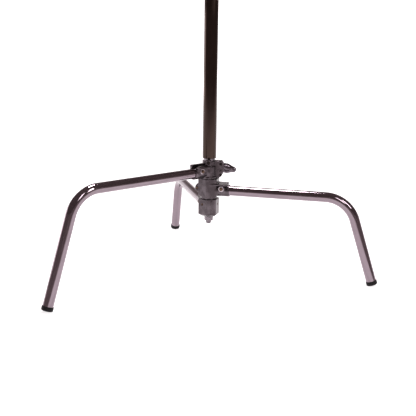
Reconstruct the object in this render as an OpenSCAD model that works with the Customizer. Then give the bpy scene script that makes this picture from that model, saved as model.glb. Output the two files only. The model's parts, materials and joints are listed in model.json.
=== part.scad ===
// Folding-leg stand with a lift-off telescopic column.
// +Z is up, the floor is z = 0, and the origin is the centre of the footprint.
// Each leg has its own frame: +X runs out along the leg from the post's axis.

/* [Legs] */
// Outside diameter of the leg tubes
leg_d = 25.4; // [24.5:0.1:25.4]
// Wall of the leg tubes
leg_wall = 1.6; // [1.2:0.1:2.5]
// Radius of each bend on the tube's centreline
bend_r = 78; // [60:1:90]
// Lean of the lower legs from the vertical
leg_lean = 17.9; // [10:0.1:25]
// Direction of the top leg, in degrees round the post
top_az = 221; // [215:1:227]
// Direction of the middle leg
middle_az = 346; // [340:1:350]
// Direction of the bottom leg
bottom_az = 104; // [98:1:110]
// Height of the top leg's run
top_run = 268; // [266:1:270]
// Height of the middle leg's run
middle_run = 220.5; // [219:0.5:222]
// Height of the bottom leg's run
bottom_run = 175; // [174:1:176]
// Distance from the post to the top leg's foot
top_reach = 482; // [470:1:500]
// Distance from the post to the middle leg's foot
middle_reach = 429; // [420:1:435]
// Distance from the post to the bottom leg's foot
bottom_reach = 438; // [430:1:445]

/* [Feet] */
// Outside diameter of the rubber caps
cap_d = 28; // [27:0.2:30]
// Height of the caps along the tube
cap_h = 11; // [9:1:16]
// Thickness of the rubber under the tube
cap_floor = 3; // [2:0.5:5]
// Round on the bottom edge of the caps
cap_round = 3; // [2:0.5:4]
// Depth of the flat worn on each cap
cap_wear = 0.8; // [0.4:0.1:1.2]

/* [Hub] */
// Radius of the round part of the top casting
hub_r = 20.3; // [19.5:0.1:21]
// Height of the top casting's underside
top_base = 251.4; // [251:0.1:252]
// Height of the receiver's rim
top_rim = 297; // [295:0.5:299]
// Underside of the middle casting
middle_base = 206; // [205.8:0.1:206.2]
// Underside of the bottom casting
bottom_base = 151.5; // [151:0.1:153]
// Gap between the castings
hub_gap = 0.4; // [0.3:0.1:0.6]
// Radius of the king post
post_r = 7; // [6.5:0.1:7.5]
// Lower end of the king post
post_end = 131; // [128:0.5:134]
// Outside radius of the leg sockets
socket_r = 15.5; // [15:0.1:15.8]
// Distance from the post to the end of each socket
socket_end = 55; // [50:1:60]
// Distance from the post to each leg bolt
bolt_x = 36; // [35:0.5:42]
// Height of each leg bolt above its tube's centreline
bolt_rise = 6; // [4:0.5:7]
// Centre height of the receiver's clamp
clamp_z = 275; // [274:0.5:276]
// Distance from the post to the clamp screw
clamp_x = 26.5; // [26:0.5:28]

/* [Column] */
// Outside diameter of the column tube
column_d = 35; // [34.5:0.1:35.4]
// Length of the column tube
column_len = 470; // [440:5:508]
// Height of the column tube's lower end
column_base = 303; // [301:0.5:306]
// Diameter of the spigot, one and one eighth inches
spigot_d = 28.5; // [28.4:0.02:28.6]
// Outside diameter of the lower riser
riser_1_d = 30; // [29.8:0.1:30.1]
// Outside diameter of the upper riser
riser_2_d = 25; // [24.8:0.1:25.1]
// Diameter of the mounting pin, five eighths of an inch
pin_d = 16; // [15.88:0.04:16]
// Length of the plain part of the mounting pin
pin_len = 75; // [60:1:90]

/* [Hidden] */

$fn = 64;
leg_r = leg_d / 2;
cap_r = cap_d / 2;
receiver_r = spigot_d / 2 + 0.08;
receiver_floor = top_base + 7.6;
post_head_h = 5;
bush_wall = 2;
shaft_gap = 0.05;
ear_slot = 3;
ear_t = 8;
ear_bolt_x = 29.3;
ear_bolt_pitch = 28.6;
ear_head_r = 3.3;
boss_az = 266;
boss_z = 295.3;
shoulder = 284;
barrel_shift = 4;
plate_rise = 14.5;
handle_gap = 0.4;
neck_r = 20.8;
neck_z = 198;
spring_r = 8.8;
spring_wire = 2.4;
cavity_r = 12.5;
cavity_top = 178;
nut_h = 13;
nut_af = 20.6;
leg_bolt_r = 3;
run_start = 28;
bend_draw = 0.1;
joint_lap = 0.3;
collar_grip = 20;
collar_guide = 28;
collar_wall = 5;
column_wall = 2;
riser_wall = 1.5;
column_top = column_base + column_len;
riser_1_base = column_base + 44;
riser_1_top = column_top + collar_guide + hub_gap + collar_grip;
riser_2_base = riser_1_base + 5;
riser_2_top = riser_1_top + collar_guide + 12;
screw_r = 5;

// The bottom edge of a cap is a ring, tilted with the leg and let into the floor by the wear.
ring_r = cap_r - cap_round;
ring_z = ring_r * sin(leg_lean) + cap_round - cap_wear;
function ring_x(reach) = reach - ring_z * tan(leg_lean);
// How far a cap reaches from its ring's centre in a horizontal direction turned by a from the leg.
function cap_reach(a) = ring_r * sqrt(1 - pow(cos(a) * sin(leg_lean), 2)) + cap_round;
function foot_edge(reach, az, dir) = ring_x(reach) * cos(az - dir) + cap_reach(az - dir);
x_high = foot_edge(middle_reach, middle_az, 0);
x_low = -foot_edge(top_reach, top_az, 180);
y_high = foot_edge(bottom_reach, bottom_az, 90);
y_low = -foot_edge(top_reach, top_az, 270);
post_x = -(x_high + x_low) / 2;
post_y = -(y_high + y_low) / 2;

module at_post(az = 0, z = 0) {
  translate([post_x, post_y, z]) rotate([0, 0, az]) children();
}

module tube_section(r, wall) {
  difference() {
    circle(r);
    circle(r - wall);
  }
}

module pipe(r, wall, h) {
  linear_extrude(h) tube_section(r, wall);
}

module along_x(x = 0, y = 0, z = 0) {
  translate([x, y, z]) rotate([0, 90, 0]) children();
}

module along_y(x = 0, y = 0, z = 0) {
  translate([x, y, z]) rotate([-90, 0, 0]) children();
}

// ---- legs ----

// The bend is drawn down a little in section, and the straight lengths run just into it.
module bent_leg(run_z, reach) {
  corner = reach - run_z * tan(leg_lean);
  bend_start = corner - bend_r * tan((90 - leg_lean) / 2);
  bend_end_z = run_z - bend_r + bend_r * sin(leg_lean);
  bend_end_x = bend_start + bend_r * cos(leg_lean);
  drop = (bend_end_z - ring_z) / cos(leg_lean) + cap_round - cap_floor;
  difference() {
    union() {
      along_x(run_start, 0, run_z) pipe(leg_r, leg_wall, bend_start - run_start + joint_lap);
      translate([bend_start, 0, run_z - bend_r]) rotate([90, 0, 0]) rotate([0, 0, leg_lean])
        rotate_extrude(angle = 90 - leg_lean) translate([bend_r, 0])
          tube_section(leg_r - bend_draw, leg_wall - 2 * bend_draw);
      translate([bend_end_x, 0, bend_end_z]) rotate([0, 180 - leg_lean, 0])
        translate([0, 0, -joint_lap]) pipe(leg_r, leg_wall, drop + joint_lap);
    }
    along_y(bolt_x, -20, run_z + bolt_rise) cylinder(r = leg_bolt_r + 0.2, h = 40);
  }
}

module leg_tube(az, run_z, reach) {
  color("silver") at_post(az) bent_leg(run_z, reach);
}

module foot_cap(az, reach) {
  color([0.06, 0.06, 0.06]) at_post(az)
    intersection() {
      translate([ring_x(reach), 0, ring_z]) rotate([0, 180 - leg_lean, 0])
        rotate_extrude() {
          difference() {
            translate([0, cap_round - cap_h]) square([cap_r, cap_h - cap_round]);
            translate([-1, cap_round - cap_h - 1]) square([leg_r + 1, cap_h - cap_floor + 1]);
          }
          square([ring_r, cap_round]);
          translate([ring_r, 0]) intersection() {
            circle(cap_round);
            square(cap_round);
          }
        }
      translate([reach - 50, -50, 0]) cube(100);
    }
}

module leg_bolt(az, run_z, side) {
  color("peru") at_post(az, run_z + bolt_rise) scale([1, side, 1]) {
    along_y(bolt_x, -21, 0) cylinder(r = leg_bolt_r, h = 41);
    along_y(bolt_x, 17.6, 0) cylinder(r = 4.6, h = 3.4);
  }
}

module leg_washers(az, run_z) {
  color("gainsboro") at_post(az, run_z + bolt_rise)
    for (s = [-1, 1]) along_y(bolt_x, s * (socket_r + 1.05) - 0.75, 0)
      difference() {
        cylinder(r = 7, h = 1.5);
        translate([0, 0, -1]) cylinder(r = leg_bolt_r, h = 4);
      }
}

module leg_nut(az, run_z, side) {
  color("darkgray") at_post(az, run_z + bolt_rise)
    along_y(bolt_x, side > 0 ? -22.2 : 17.6, 0) difference() {
      cylinder(r = 5.8, h = 4.6, $fn = 6);
      translate([0, 0, -1]) cylinder(r = leg_bolt_r, h = 7);
    }
}

// ---- castings ----

module socket_bores(run_z) {
  along_x(27.5, 0, run_z) cylinder(r = leg_r, h = 60);
  along_y(bolt_x, -30, run_z + bolt_rise) cylinder(r = leg_bolt_r, h = 60);
}

// Flat seats for the washers on both sides of a socket
module bolt_bosses(run_z) {
  along_y(bolt_x, -socket_r - 0.3, run_z + bolt_rise) cylinder(r = 8, h = 2 * socket_r + 0.6);
}

// Six-sided plan with its narrow face at the tail
module hub_plan() {
  polygon([[-26, 12.5], [0, 28], [24, 16], [24, -16], [0, -28], [-26, -12.5]]);
}

// Clamp ears with a slanted lower edge
module clamp_ears() {
  along_y(0, -ear_slot / 2 - ear_t, 0) linear_extrude(2 * ear_t + ear_slot) mirror([0, 1])
    polygon([[4, 251.8], [23, 251.8], [31, 256], [35.5, 263], [38, 273], [38, 291], [34, 297], [4, 297]]);
}

// The barrel stands a little towards the leg, so its wall is thinnest beside the ears.
module top_casting() {
  color([0.45, 0.42, 0.44]) difference() {
    at_post() difference() {
      union() {
        translate([0, 0, top_base + 1]) cylinder(r = 17.8, h = top_rim - top_base - 1);
        rotate([0, 0, top_az]) {
          translate([barrel_shift, 0, top_base]) cylinder(r = hub_r, h = shoulder - top_base);
          translate([barrel_shift, 0, top_base]) cylinder(r = hub_r + 2.7, h = 5.6);
          along_x(0, 0, top_run) cylinder(r = socket_r, h = socket_end);
          translate([0, -socket_r, top_run]) cube([52, 9, 21]);
          translate([0, socket_r - 9, top_run]) cube([socket_end, 9, 19]);
          translate([0, -socket_r, top_run]) cube([28, 2 * socket_r, 16]);
          bolt_bosses(top_run);
        }
        clamp_ears();
        rotate([0, 0, boss_az]) along_x(16, 0, boss_z) cylinder(r = 7.2, h = 13.5);
      }
      translate([0, 0, receiver_floor]) cylinder(r = receiver_r, h = 80);
      translate([0, 0, top_base - 1]) cylinder(r = post_r, h = 20);
      translate([0, 0, top_base - 1]) cylinder(r = 18, h = 2.6);
      // Slot that lets the receiver close
      translate([0, -ear_slot / 2, top_base - 1]) cube([50, ear_slot, 60]);
      along_y(clamp_x, -ear_slot / 2 - ear_t + 2, clamp_z) cylinder(r = screw_r + shaft_gap, h = 30);
      for (s = [-1, 1]) {
        along_y(ear_bolt_x, -20, clamp_z + s * ear_bolt_pitch / 2) cylinder(r = 2.5, h = 40);
        along_y(ear_bolt_x, -20, clamp_z + s * ear_bolt_pitch / 2)
          cylinder(r = ear_head_r, h = 20 - ear_slot / 2 - ear_t + 4.5);
      }
      rotate([0, 0, boss_az]) along_x(10, 0, boss_z) cylinder(r = 4, h = 30);
      rotate([0, 0, top_az]) {
        // Scallops round the lower rim
        for (a = [0 : 30 : 330]) translate([barrel_shift, 0, top_base]) rotate([0, 0, a + 15])
          along_x(20.6, 0, 0) cylinder(r = 2, h = 10);
        socket_bores(top_run);
        translate([28, -6.5, top_run]) cube([60, 13, 30]);
      }
    }
  }
}

module plate_and_socket(run_z) {
  along_x(0, 0, run_z) cylinder(r = socket_r, h = socket_end);
  translate([0, 0, run_z + plate_rise]) linear_extrude(4)
    polygon([[0, 24], [20, 22], [50, 20], [50, -20], [20, -22], [0, -24]]);
  translate([0, -9, run_z]) cube([50, 18, plate_rise + 2]);
  bolt_bosses(run_z);
}

module middle_casting() {
  h = top_base - hub_gap - middle_base;
  color([0.47, 0.43, 0.45]) at_post(middle_az) difference() {
    union() {
      translate([0, 0, middle_base]) linear_extrude(h) hub_plan();
      plate_and_socket(middle_run);
      // Tail lug that carries the stop pin
      along_y(0, -9, 0) linear_extrude(18) mirror([0, 1])
        polygon([[-20, 213], [-31, 216], [-35, 221], [-35, 229], [-30, 236], [-20, 240]]);
      // Skirt that comes to a point under the front corner
      intersection() {
        translate([0, 0, middle_base - 7.6]) linear_extrude(8) hub_plan();
        rotate([0, 0, -90]) translate([8, 0, middle_base]) rotate([90, 0, 90]) linear_extrude(25)
          polygon([[-24, 1], [24, 1], [0, -7.2]]);
      }
    }
    translate([0, 0, middle_base - 1]) cylinder(r = post_r + shaft_gap + bush_wall, h = 60);
    translate([0, 0, middle_base - 1]) cylinder(r = 18, h = 2.6);
    translate([0, 0, neck_z - 5]) cylinder(r = neck_r + 0.5, h = middle_base - neck_z + 5);
    socket_bores(middle_run);
    along_y(-30, -12, 225) cylinder(r = 2.5, h = 24);
  }
}

module bottom_casting() {
  top = middle_base - hub_gap;
  color([0.47, 0.43, 0.45]) at_post(bottom_az) difference() {
    union() {
      difference() {
        union() {
          translate([0, 0, bottom_base + 5.5]) linear_extrude(neck_z - bottom_base - 5.5) hub_plan();
          translate([0, 0, bottom_base + 2.5]) linear_extrude(3) scale(0.88) hub_plan();
          translate([0, 0, bottom_base]) linear_extrude(2.5) scale(0.7) hub_plan();
          plate_and_socket(bottom_run);
          translate([-27.5, -1.5, bottom_base + 6]) cube([10, 3, neck_z - bottom_base - 10]);
        }
        translate([0, 0, neck_z]) cylinder(r = 40, h = 20);
      }
      translate([0, 0, neck_z - 1]) cylinder(r = neck_r, h = top - neck_z + 1);
    }
    translate([0, 0, bottom_base - 1]) cylinder(r = post_r + shaft_gap + bush_wall, h = 60);
    translate([0, 0, bottom_base - 1]) cylinder(r = cavity_r, h = cavity_top - bottom_base + 1);
    socket_bores(bottom_run);
    for (s = [-1, 1]) translate([0, 0, 184]) rotate([0, 0, s * 121])
      along_x(8, 0, 0) cylinder(r = 3, h = 20);
  }
}

// ---- centre of the hub ----

module king_post() {
  color("slategray") at_post() {
    translate([0, 0, post_end]) cylinder(r = post_r, h = receiver_floor - post_end);
    translate([0, 0, receiver_floor]) cylinder(r = 11, h = post_head_h);
  }
}

module thrust_washer(z) {
  color("goldenrod") at_post(0, z) difference() {
    cylinder(r = 17.5, h = 1.2);
    translate([0, 0, -1]) cylinder(r = post_r, h = 4);
  }
}

module upper_thrust_washer() {
  thrust_washer(top_base - hub_gap + 0.35);
}

module lower_thrust_washer() {
  thrust_washer(middle_base - hub_gap + 0.35);
}

module bushing(z, h) {
  color("darkgoldenrod") at_post(0, z) pipe(post_r + shaft_gap + bush_wall, bush_wall, h);
}

module middle_bushing() {
  bushing(middle_base + 2.6, top_base - hub_gap - middle_base - 3);
}

module bottom_bushing() {
  bushing(cavity_top, middle_base - hub_gap - cavity_top - 0.4);
}

// One closed coil swept as a tube, from the seat to the top of the cavity
module pressure_spring() {
  sides = 8;
  rings = 97;
  turns = 4;
  z0 = bottom_base + 2.2 + spring_wire / 2;
  z1 = cavity_top - 0.4 - spring_wire / 2;
  function spring_point(i, k) = let (
    a = 360 * turns * i / (rings - 1),
    b = 360 * k / sides,
    r = spring_r + 1.2 + spring_wire / 2 * cos(b)
  ) [r * cos(a), r * sin(a), z0 + (z1 - z0) * i / (rings - 1) + spring_wire / 2 * sin(b)];
  points = [for (i = [0 : rings - 1]) for (k = [0 : sides - 1]) spring_point(i, k)];
  walls = [for (i = [0 : rings - 2]) for (k = [0 : sides - 1])
    [i * sides + k, (i + 1) * sides + k, (i + 1) * sides + (k + 1) % sides, i * sides + (k + 1) % sides]];
  ends = [[for (k = [0 : sides - 1]) k], [for (k = [sides - 1 : -1 : 0]) (rings - 1) * sides + k]];
  color("dimgray") at_post() polyhedron(points = points, faces = concat(walls, ends), convexity = 10);
}

module spring_seat() {
  color("silver") at_post(0, bottom_base + 0.2) difference() {
    cylinder(r = cavity_r - 0.5, h = 1.8);
    translate([0, 0, -1]) cylinder(r = post_r, h = 4);
  }
}

module tension_nut() {
  color("lightgray") at_post(15, bottom_base - nut_h + 0.2) difference() {
    union() {
      cylinder(r = nut_af / sqrt(3), h = nut_h - 3, $fn = 6);
      cylinder(r = nut_af / 2, h = nut_h);
    }
    translate([0, 0, -1]) cylinder(r = post_r, h = nut_h + 2);
  }
}

module stop_pin() {
  color("peru") at_post(middle_az) along_y(-30, -10, 225) cylinder(r = 2.5, h = 20);
}

module bushing_screws() {
  color("peru") at_post(bottom_az, 184)
    for (s = [-1, 1]) rotate([0, 0, s * 121]) along_x(12, 0, 0) difference() {
      cylinder(r = 3, h = 12);
      translate([0, 0, 9.5]) cylinder(r = 1.7, h = 3, $fn = 6);
    }
}

module spigot_screw() {
  color("silver") at_post(boss_az, boss_z) along_x(receiver_r + 0.3, 0, 0) difference() {
    cylinder(r = 4, h = 15.5);
    translate([0, 0, 12]) cylinder(r = 2.4, h = 5, $fn = 6);
  }
}

module ear_bolts() {
  head_y = -ear_slot / 2 - ear_t;
  color("dimgray") at_post()
    for (s = [-1, 1]) translate([ear_bolt_x, 0, clamp_z + s * ear_bolt_pitch / 2]) difference() {
      union() {
        along_y(0, head_y + 4, 0) cylinder(r = 2.5, h = 2 * ear_t + ear_slot - 4);
        along_y(0, head_y + 0.8, 0) cylinder(r = ear_head_r, h = 3.7);
      }
      along_y(0, head_y, 0) cylinder(r = 1.9, h = 3, $fn = 6);
    }
}

// ---- lock handles ----

// A flattened ball, part of a wing
module pad(x, z, r, flat) {
  translate([x, 0, z]) scale([1, 1, flat]) sphere(r = r, $fn = 24);
}

// A hub and two broad swept wings, in a frame where the screw's axis is +Z and the hub starts at z = 0
module wing_handle() {
  difference() {
    union() {
      cylinder(r = 11, h = 18);
      for (s = [-1, 1]) {
        hull() {
          pad(0, 17.5, 13.5, 0.66);
          pad(s * 21, 23.5, 12, 0.66);
        }
        hull() {
          pad(s * 21, 23.5, 12, 0.66);
          pad(s * 38, 29.5, 7.6, 0.85);
        }
      }
    }
    translate([0, 0, -1]) cylinder(r = screw_r, h = 17);
    translate([0, 0, -10]) cylinder(r = 30, h = 10);
  }
}

module clamp_frame(tilt) {
  at_post() translate([clamp_x, ear_slot / 2 + ear_t, clamp_z]) rotate([-90, 0, 0])
    rotate([0, 0, tilt]) children();
}

module base_handle() {
  color([0.35, 0.33, 0.35]) clamp_frame(14) translate([0, 0, handle_gap]) wing_handle();
}

module base_handle_screw() {
  grip = 2 * ear_t + ear_slot - 3;
  color("silver") clamp_frame(0) translate([0, 0, -grip]) cylinder(r = screw_r, h = grip + handle_gap + 14);
}

// Frame of a collar's lock screw: +Z runs outwards, and the screw's face is at the boss
module collar_frame(az, z, boss) {
  at_post(az, z) translate([boss, 0, 0]) rotate([0, 90, 0]) rotate([0, 0, 90]) children();
}

module collar_handle(az, z, boss) {
  color([0.35, 0.33, 0.35]) collar_frame(az, z, boss) translate([0, 0, handle_gap]) wing_handle();
}

module collar_screw(az, z, boss, tube_r) {
  reach = boss - tube_r - 0.3;
  color("silver") collar_frame(az, z, boss) translate([0, 0, -reach])
    cylinder(r = screw_r, h = reach + handle_gap + 14);
}

// ---- column ----

column_boss = 36;
riser_boss = 33;
column_lock_z = column_top + collar_guide / 2;
riser_lock_z = riser_1_top + collar_guide / 2;

// A collar on the end of one tube that guides and locks the next one
module collar(z, tube_r, guide_r, az, boss) {
  outer_r = tube_r + collar_wall;
  at_post() difference() {
    union() {
      translate([0, 0, z - collar_grip]) cylinder(r = outer_r - 1, h = collar_grip + 2);
      translate([0, 0, z]) cylinder(r = outer_r, h = collar_guide - 3);
      translate([0, 0, z + collar_guide - 3]) cylinder(r = outer_r - 1.5, h = 3);
      rotate([0, 0, az]) along_x(0, 0, z + collar_guide / 2) cylinder(r = 10.5, h = boss);
    }
    translate([0, 0, z - collar_grip - 1]) cylinder(r = tube_r, h = collar_grip + 1);
    translate([0, 0, z - 1]) cylinder(r = guide_r + shaft_gap, h = collar_guide + 2);
    rotate([0, 0, az]) along_x(0, 0, z + collar_guide / 2) cylinder(r = screw_r + shaft_gap, h = boss + 1);
    for (a = [60, 180, 300]) rotate([0, 0, az + a]) along_x(0, 0, z - collar_grip / 2)
      cylinder(r = 2, h = 40);
  }
}

module collar_rivets(z, tube_r, az) {
  color("dimgray") at_post(az, z - collar_grip / 2) for (a = [60, 180, 300]) rotate([0, 0, a]) {
    along_x(tube_r + 0.1, 0, 0) cylinder(r = 2, h = collar_wall);
    along_x(tube_r + collar_wall - 0.8, 0, 0) cylinder(r = 3.4, h = 1.2);
  }
}

module column_tube() {
  color([0.25, 0.22, 0.21]) at_post(0, column_base) difference() {
    pipe(column_d / 2, column_wall, column_len);
    for (z = [12, 30]) along_x(-30, 0, z) cylinder(r = 2.5, h = 60);
  }
}

module column_spigot() {
  low = receiver_floor + post_head_h + 0.6;
  color("silver") at_post() difference() {
    union() {
      translate([0, 0, low + 2]) cylinder(r = spigot_d / 2, h = column_base - low - 2);
      translate([0, 0, low]) cylinder(r1 = spigot_d / 2 - 2, r2 = spigot_d / 2, h = 2);
      translate([0, 0, column_base]) cylinder(r = column_d / 2 - column_wall, h = 40);
    }
    for (z = [12, 30]) along_x(-30, 0, column_base + z) cylinder(r = 2.5, h = 60);
  }
}

module spigot_pins() {
  color("silver") at_post(0, column_base)
    for (z = [12, 30]) along_x(-column_d / 2 - 0.2, 0, z) cylinder(r = 2.5, h = column_d + 0.4);
}

module column_collar() {
  color([0.45, 0.42, 0.44]) collar(column_top, column_d / 2, riser_1_d / 2, 0, column_boss);
}

module column_collar_rivets() {
  collar_rivets(column_top, column_d / 2, 0);
}

// ---- risers ----

module riser_1_tube() {
  color("silver") at_post(0, riser_1_base) pipe(riser_1_d / 2, riser_wall, riser_1_top - riser_1_base);
}

module riser_bush(z, bore_r, tube_r) {
  color("whitesmoke") at_post(0, z) pipe(bore_r - shaft_gap, bore_r - shaft_gap - tube_r, 25);
}

module riser_1_bush() {
  riser_bush(riser_1_base, column_d / 2 - column_wall, riser_1_d / 2);
}

module riser_1_collar() {
  color([0.45, 0.42, 0.44]) collar(riser_1_top, riser_1_d / 2, riser_2_d / 2, 180, riser_boss);
}

module riser_1_collar_rivets() {
  collar_rivets(riser_1_top, riser_1_d / 2, 180);
}

module riser_2_tube() {
  color("silver") at_post(0, riser_2_base) pipe(riser_2_d / 2, riser_wall, riser_2_top - riser_2_base);
}

module riser_2_bush() {
  riser_bush(riser_2_base, riser_1_d / 2 - riser_wall, riser_2_d / 2);
}

module baby_pin() {
  color("silver") at_post(0, riser_2_top) {
    translate([0, 0, -30]) cylinder(r = riser_2_d / 2 - riser_wall, h = 30);
    cylinder(r = riser_2_d / 2, h = 3);
    translate([0, 0, 3]) cylinder(r1 = riser_2_d / 2, r2 = pin_d / 2, h = 4);
    translate([0, 0, 7]) cylinder(r = pin_d / 2, h = pin_len);
    translate([0, 0, 7 + pin_len]) cylinder(r1 = pin_d / 2, r2 = pin_d / 2 - 1.5, h = 1.5);
  }
}

module pin_rivet() {
  color("dimgray") at_post(0, riser_2_top - 6)
    for (s = [-1, 1]) along_y(0, s * (riser_2_d / 2 + 0.4) - 0.4, 0) cylinder(r = 3, h = 0.8);
}

top_casting();
middle_casting();
bottom_casting();
king_post();
upper_thrust_washer();
lower_thrust_washer();
middle_bushing();
bottom_bushing();
pressure_spring();
spring_seat();
tension_nut();
leg_tube(top_az, top_run, top_reach);  // top_leg_tube
leg_tube(middle_az, middle_run, middle_reach);  // middle_leg_tube
leg_tube(bottom_az, bottom_run, bottom_reach);  // bottom_leg_tube
leg_bolt(top_az, top_run, 1);  // top_leg_bolt
leg_bolt(middle_az, middle_run, -1);  // middle_leg_bolt
leg_bolt(bottom_az, bottom_run, 1);  // bottom_leg_bolt
leg_washers(top_az, top_run);  // top_leg_washers
leg_washers(middle_az, middle_run);  // middle_leg_washers
leg_washers(bottom_az, bottom_run);  // bottom_leg_washers
leg_nut(top_az, top_run, 1);  // top_leg_nut
leg_nut(middle_az, middle_run, -1);  // middle_leg_nut
leg_nut(bottom_az, bottom_run, 1);  // bottom_leg_nut
foot_cap(top_az, top_reach);  // top_foot_cap
foot_cap(middle_az, middle_reach);  // middle_foot_cap
foot_cap(bottom_az, bottom_reach);  // bottom_foot_cap
stop_pin();
bushing_screws();
spigot_screw();
ear_bolts();
base_handle();
base_handle_screw();
column_tube();
column_spigot();
spigot_pins();
column_collar();
column_collar_rivets();
collar_handle(0, column_lock_z, column_boss);  // column_handle
collar_screw(0, column_lock_z, column_boss, riser_1_d / 2);  // column_handle_screw
riser_1_tube();
riser_1_bush();
riser_1_collar();
riser_1_collar_rivets();
collar_handle(180, riser_lock_z, riser_boss);  // riser_handle
collar_screw(180, riser_lock_z, riser_boss, riser_2_d / 2);  // riser_handle_screw
riser_2_tube();
riser_2_bush();
baby_pin();
pin_rivet();
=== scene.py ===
"""Looks of a folding-leg stand: cast hub, plated tubes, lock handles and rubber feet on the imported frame."""

import json
import logging
import math
from dataclasses import dataclass, field
from enum import Enum
from typing import Callable, Sequence

import bmesh
import bpy
import numpy as np
from mathutils import Matrix, Vector


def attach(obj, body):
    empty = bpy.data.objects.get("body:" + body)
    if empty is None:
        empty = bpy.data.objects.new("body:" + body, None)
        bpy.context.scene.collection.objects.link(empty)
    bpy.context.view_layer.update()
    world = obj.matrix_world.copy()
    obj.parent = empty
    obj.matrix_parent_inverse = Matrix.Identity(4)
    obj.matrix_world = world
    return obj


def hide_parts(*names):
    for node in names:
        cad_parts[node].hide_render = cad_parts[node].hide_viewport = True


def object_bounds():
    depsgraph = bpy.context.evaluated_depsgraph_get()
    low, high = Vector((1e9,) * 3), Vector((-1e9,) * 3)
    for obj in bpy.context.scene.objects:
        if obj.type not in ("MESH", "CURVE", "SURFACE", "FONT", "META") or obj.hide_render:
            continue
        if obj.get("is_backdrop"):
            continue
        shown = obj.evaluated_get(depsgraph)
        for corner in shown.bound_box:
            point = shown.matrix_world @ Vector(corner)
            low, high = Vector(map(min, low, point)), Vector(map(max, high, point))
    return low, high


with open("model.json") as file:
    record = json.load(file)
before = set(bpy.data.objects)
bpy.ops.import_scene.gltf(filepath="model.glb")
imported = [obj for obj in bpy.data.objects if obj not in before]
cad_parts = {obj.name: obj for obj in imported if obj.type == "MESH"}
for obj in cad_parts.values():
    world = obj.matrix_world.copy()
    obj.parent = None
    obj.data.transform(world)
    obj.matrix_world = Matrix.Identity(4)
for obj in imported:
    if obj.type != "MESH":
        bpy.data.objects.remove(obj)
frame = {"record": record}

CAD_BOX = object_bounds()
MM = 0.001
LOG = logging.getLogger("stand")

Radius = float | Callable[[np.ndarray], np.ndarray]
Point3 = tuple[float, float, float]


class Shading(Enum):
    """How the faces of a piece are shaded."""

    SMOOTH = "smooth"
    BY_ANGLE = "by angle"


class Drive(Enum):
    """The hexagon recesses that a screw head may have, by width across flats in millimetres."""

    FINE = 3.0
    COARSE = 4.0


# ---------------------------------------------------------------- placing


def post_axis() -> Vector:
    """Finds where the post stands.

    Returns:
        The post's foot on the floor, in millimetres.
    """
    pin = next(m for m in frame["record"]["mounts"] if m["name"] == "baby_pin")
    return Vector((pin["pos_m"][0], pin["pos_m"][1], 0.0)) / MM


POST = post_axis()


def post_frame(azimuth: float = 0.0, height: float = 0.0) -> Matrix:
    """A frame on the post's axis.

    Args:
        azimuth: Direction of its +X round the post, in degrees.
        height: Height of its origin above the floor, in millimetres.

    Returns:
        The frame's matrix, in millimetres.
    """
    lift = Matrix.Translation(POST + Vector((0, 0, height)))
    return lift @ Matrix.Rotation(math.radians(azimuth), 4, "Z")


def toward(origin: Point3, direction: Point3, turn: float = 0.0) -> Matrix:
    """A frame whose +Z runs along a direction.

    Args:
        origin: The frame's origin.
        direction: Where its +Z points.
        turn: Angle about +Z, in degrees.

    Returns:
        The frame's matrix.
    """
    turned = Vector(direction).to_track_quat("Z", "Y").to_matrix().to_4x4()
    return Matrix.Translation(Vector(origin)) @ turned @ Matrix.Rotation(math.radians(turn), 4, "Z")


# ---------------------------------------------------------------- meshes


def make_piece(
    name: str,
    points: np.ndarray,
    faces: Sequence[Sequence[int]],
    place: Matrix,
    material: bpy.types.Material,
    shading: Shading = Shading.BY_ANGLE,
    angle: float = 32.0,
) -> bpy.types.Object:
    """Makes an object at the origin whose place is in its mesh.

    Args:
        name: The object's name.
        points: Its vertices in millimetres, in the frame of place.
        faces: Its faces as vertex indices.
        place: The frame that the points are in, in millimetres.
        material: Its finish.
        shading: How its faces are shaded.
        angle: Edges sharper than this stay crisp, in degrees.

    Returns:
        The new object.
    """
    matrix = np.array(place, float)
    world = (np.asarray(points, float) @ matrix[:3, :3].T + matrix[:3, 3]) * MM
    mesh = bpy.data.meshes.new(name)
    mesh.from_pydata(world.tolist(), [], [list(map(int, f)) for f in faces])
    mesh.materials.append(material)
    mesh.validate()
    return dressed_object(name, mesh, shading, angle)


def dressed_object(
    name: str, mesh: bpy.types.Mesh, shading: Shading, angle: float = 32.0
) -> bpy.types.Object:
    """Links a mesh as an object with its shading set.

    Args:
        name: The object's name.
        mesh: Its mesh.
        shading: How its faces are shaded.
        angle: Edges sharper than this stay crisp, in degrees.

    Returns:
        The new object.
    """
    mesh.shade_smooth()
    if shading is Shading.BY_ANGLE:
        mesh.set_sharp_from_angle(angle=math.radians(angle))
    made = bpy.data.objects.new(name, mesh)
    bpy.context.scene.collection.objects.link(made)
    return made


def joined(name: str, parts: Sequence[bpy.types.Object]) -> bpy.types.Object:
    """Joins objects into one piece.

    Args:
        name: The new piece's name.
        parts: The objects, which are used up.

    Returns:
        The joined object.
    """
    work = bmesh.new()
    material = parts[0].data.materials[0]
    for part in parts:
        work.from_mesh(part.data)
    mesh = bpy.data.meshes.new(name)
    work.to_mesh(mesh)
    work.free()
    mesh.materials.append(material)
    for part in parts:
        bpy.data.objects.remove(part)
    made = bpy.data.objects.new(name, mesh)
    bpy.context.scene.collection.objects.link(made)
    return made


def across_flats(width: float) -> Callable[[np.ndarray], np.ndarray]:
    """Radius of a hexagon round the circle.

    Args:
        width: Distance between opposite flats.

    Returns:
        A function from angle to radius.
    """

    def radius(angle: np.ndarray) -> np.ndarray:
        """Radius of the hexagon at each angle."""
        sixth = math.pi / 3
        return width / 2 / np.cos(np.mod(angle + sixth / 2, sixth) - sixth / 2)

    return radius


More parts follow.
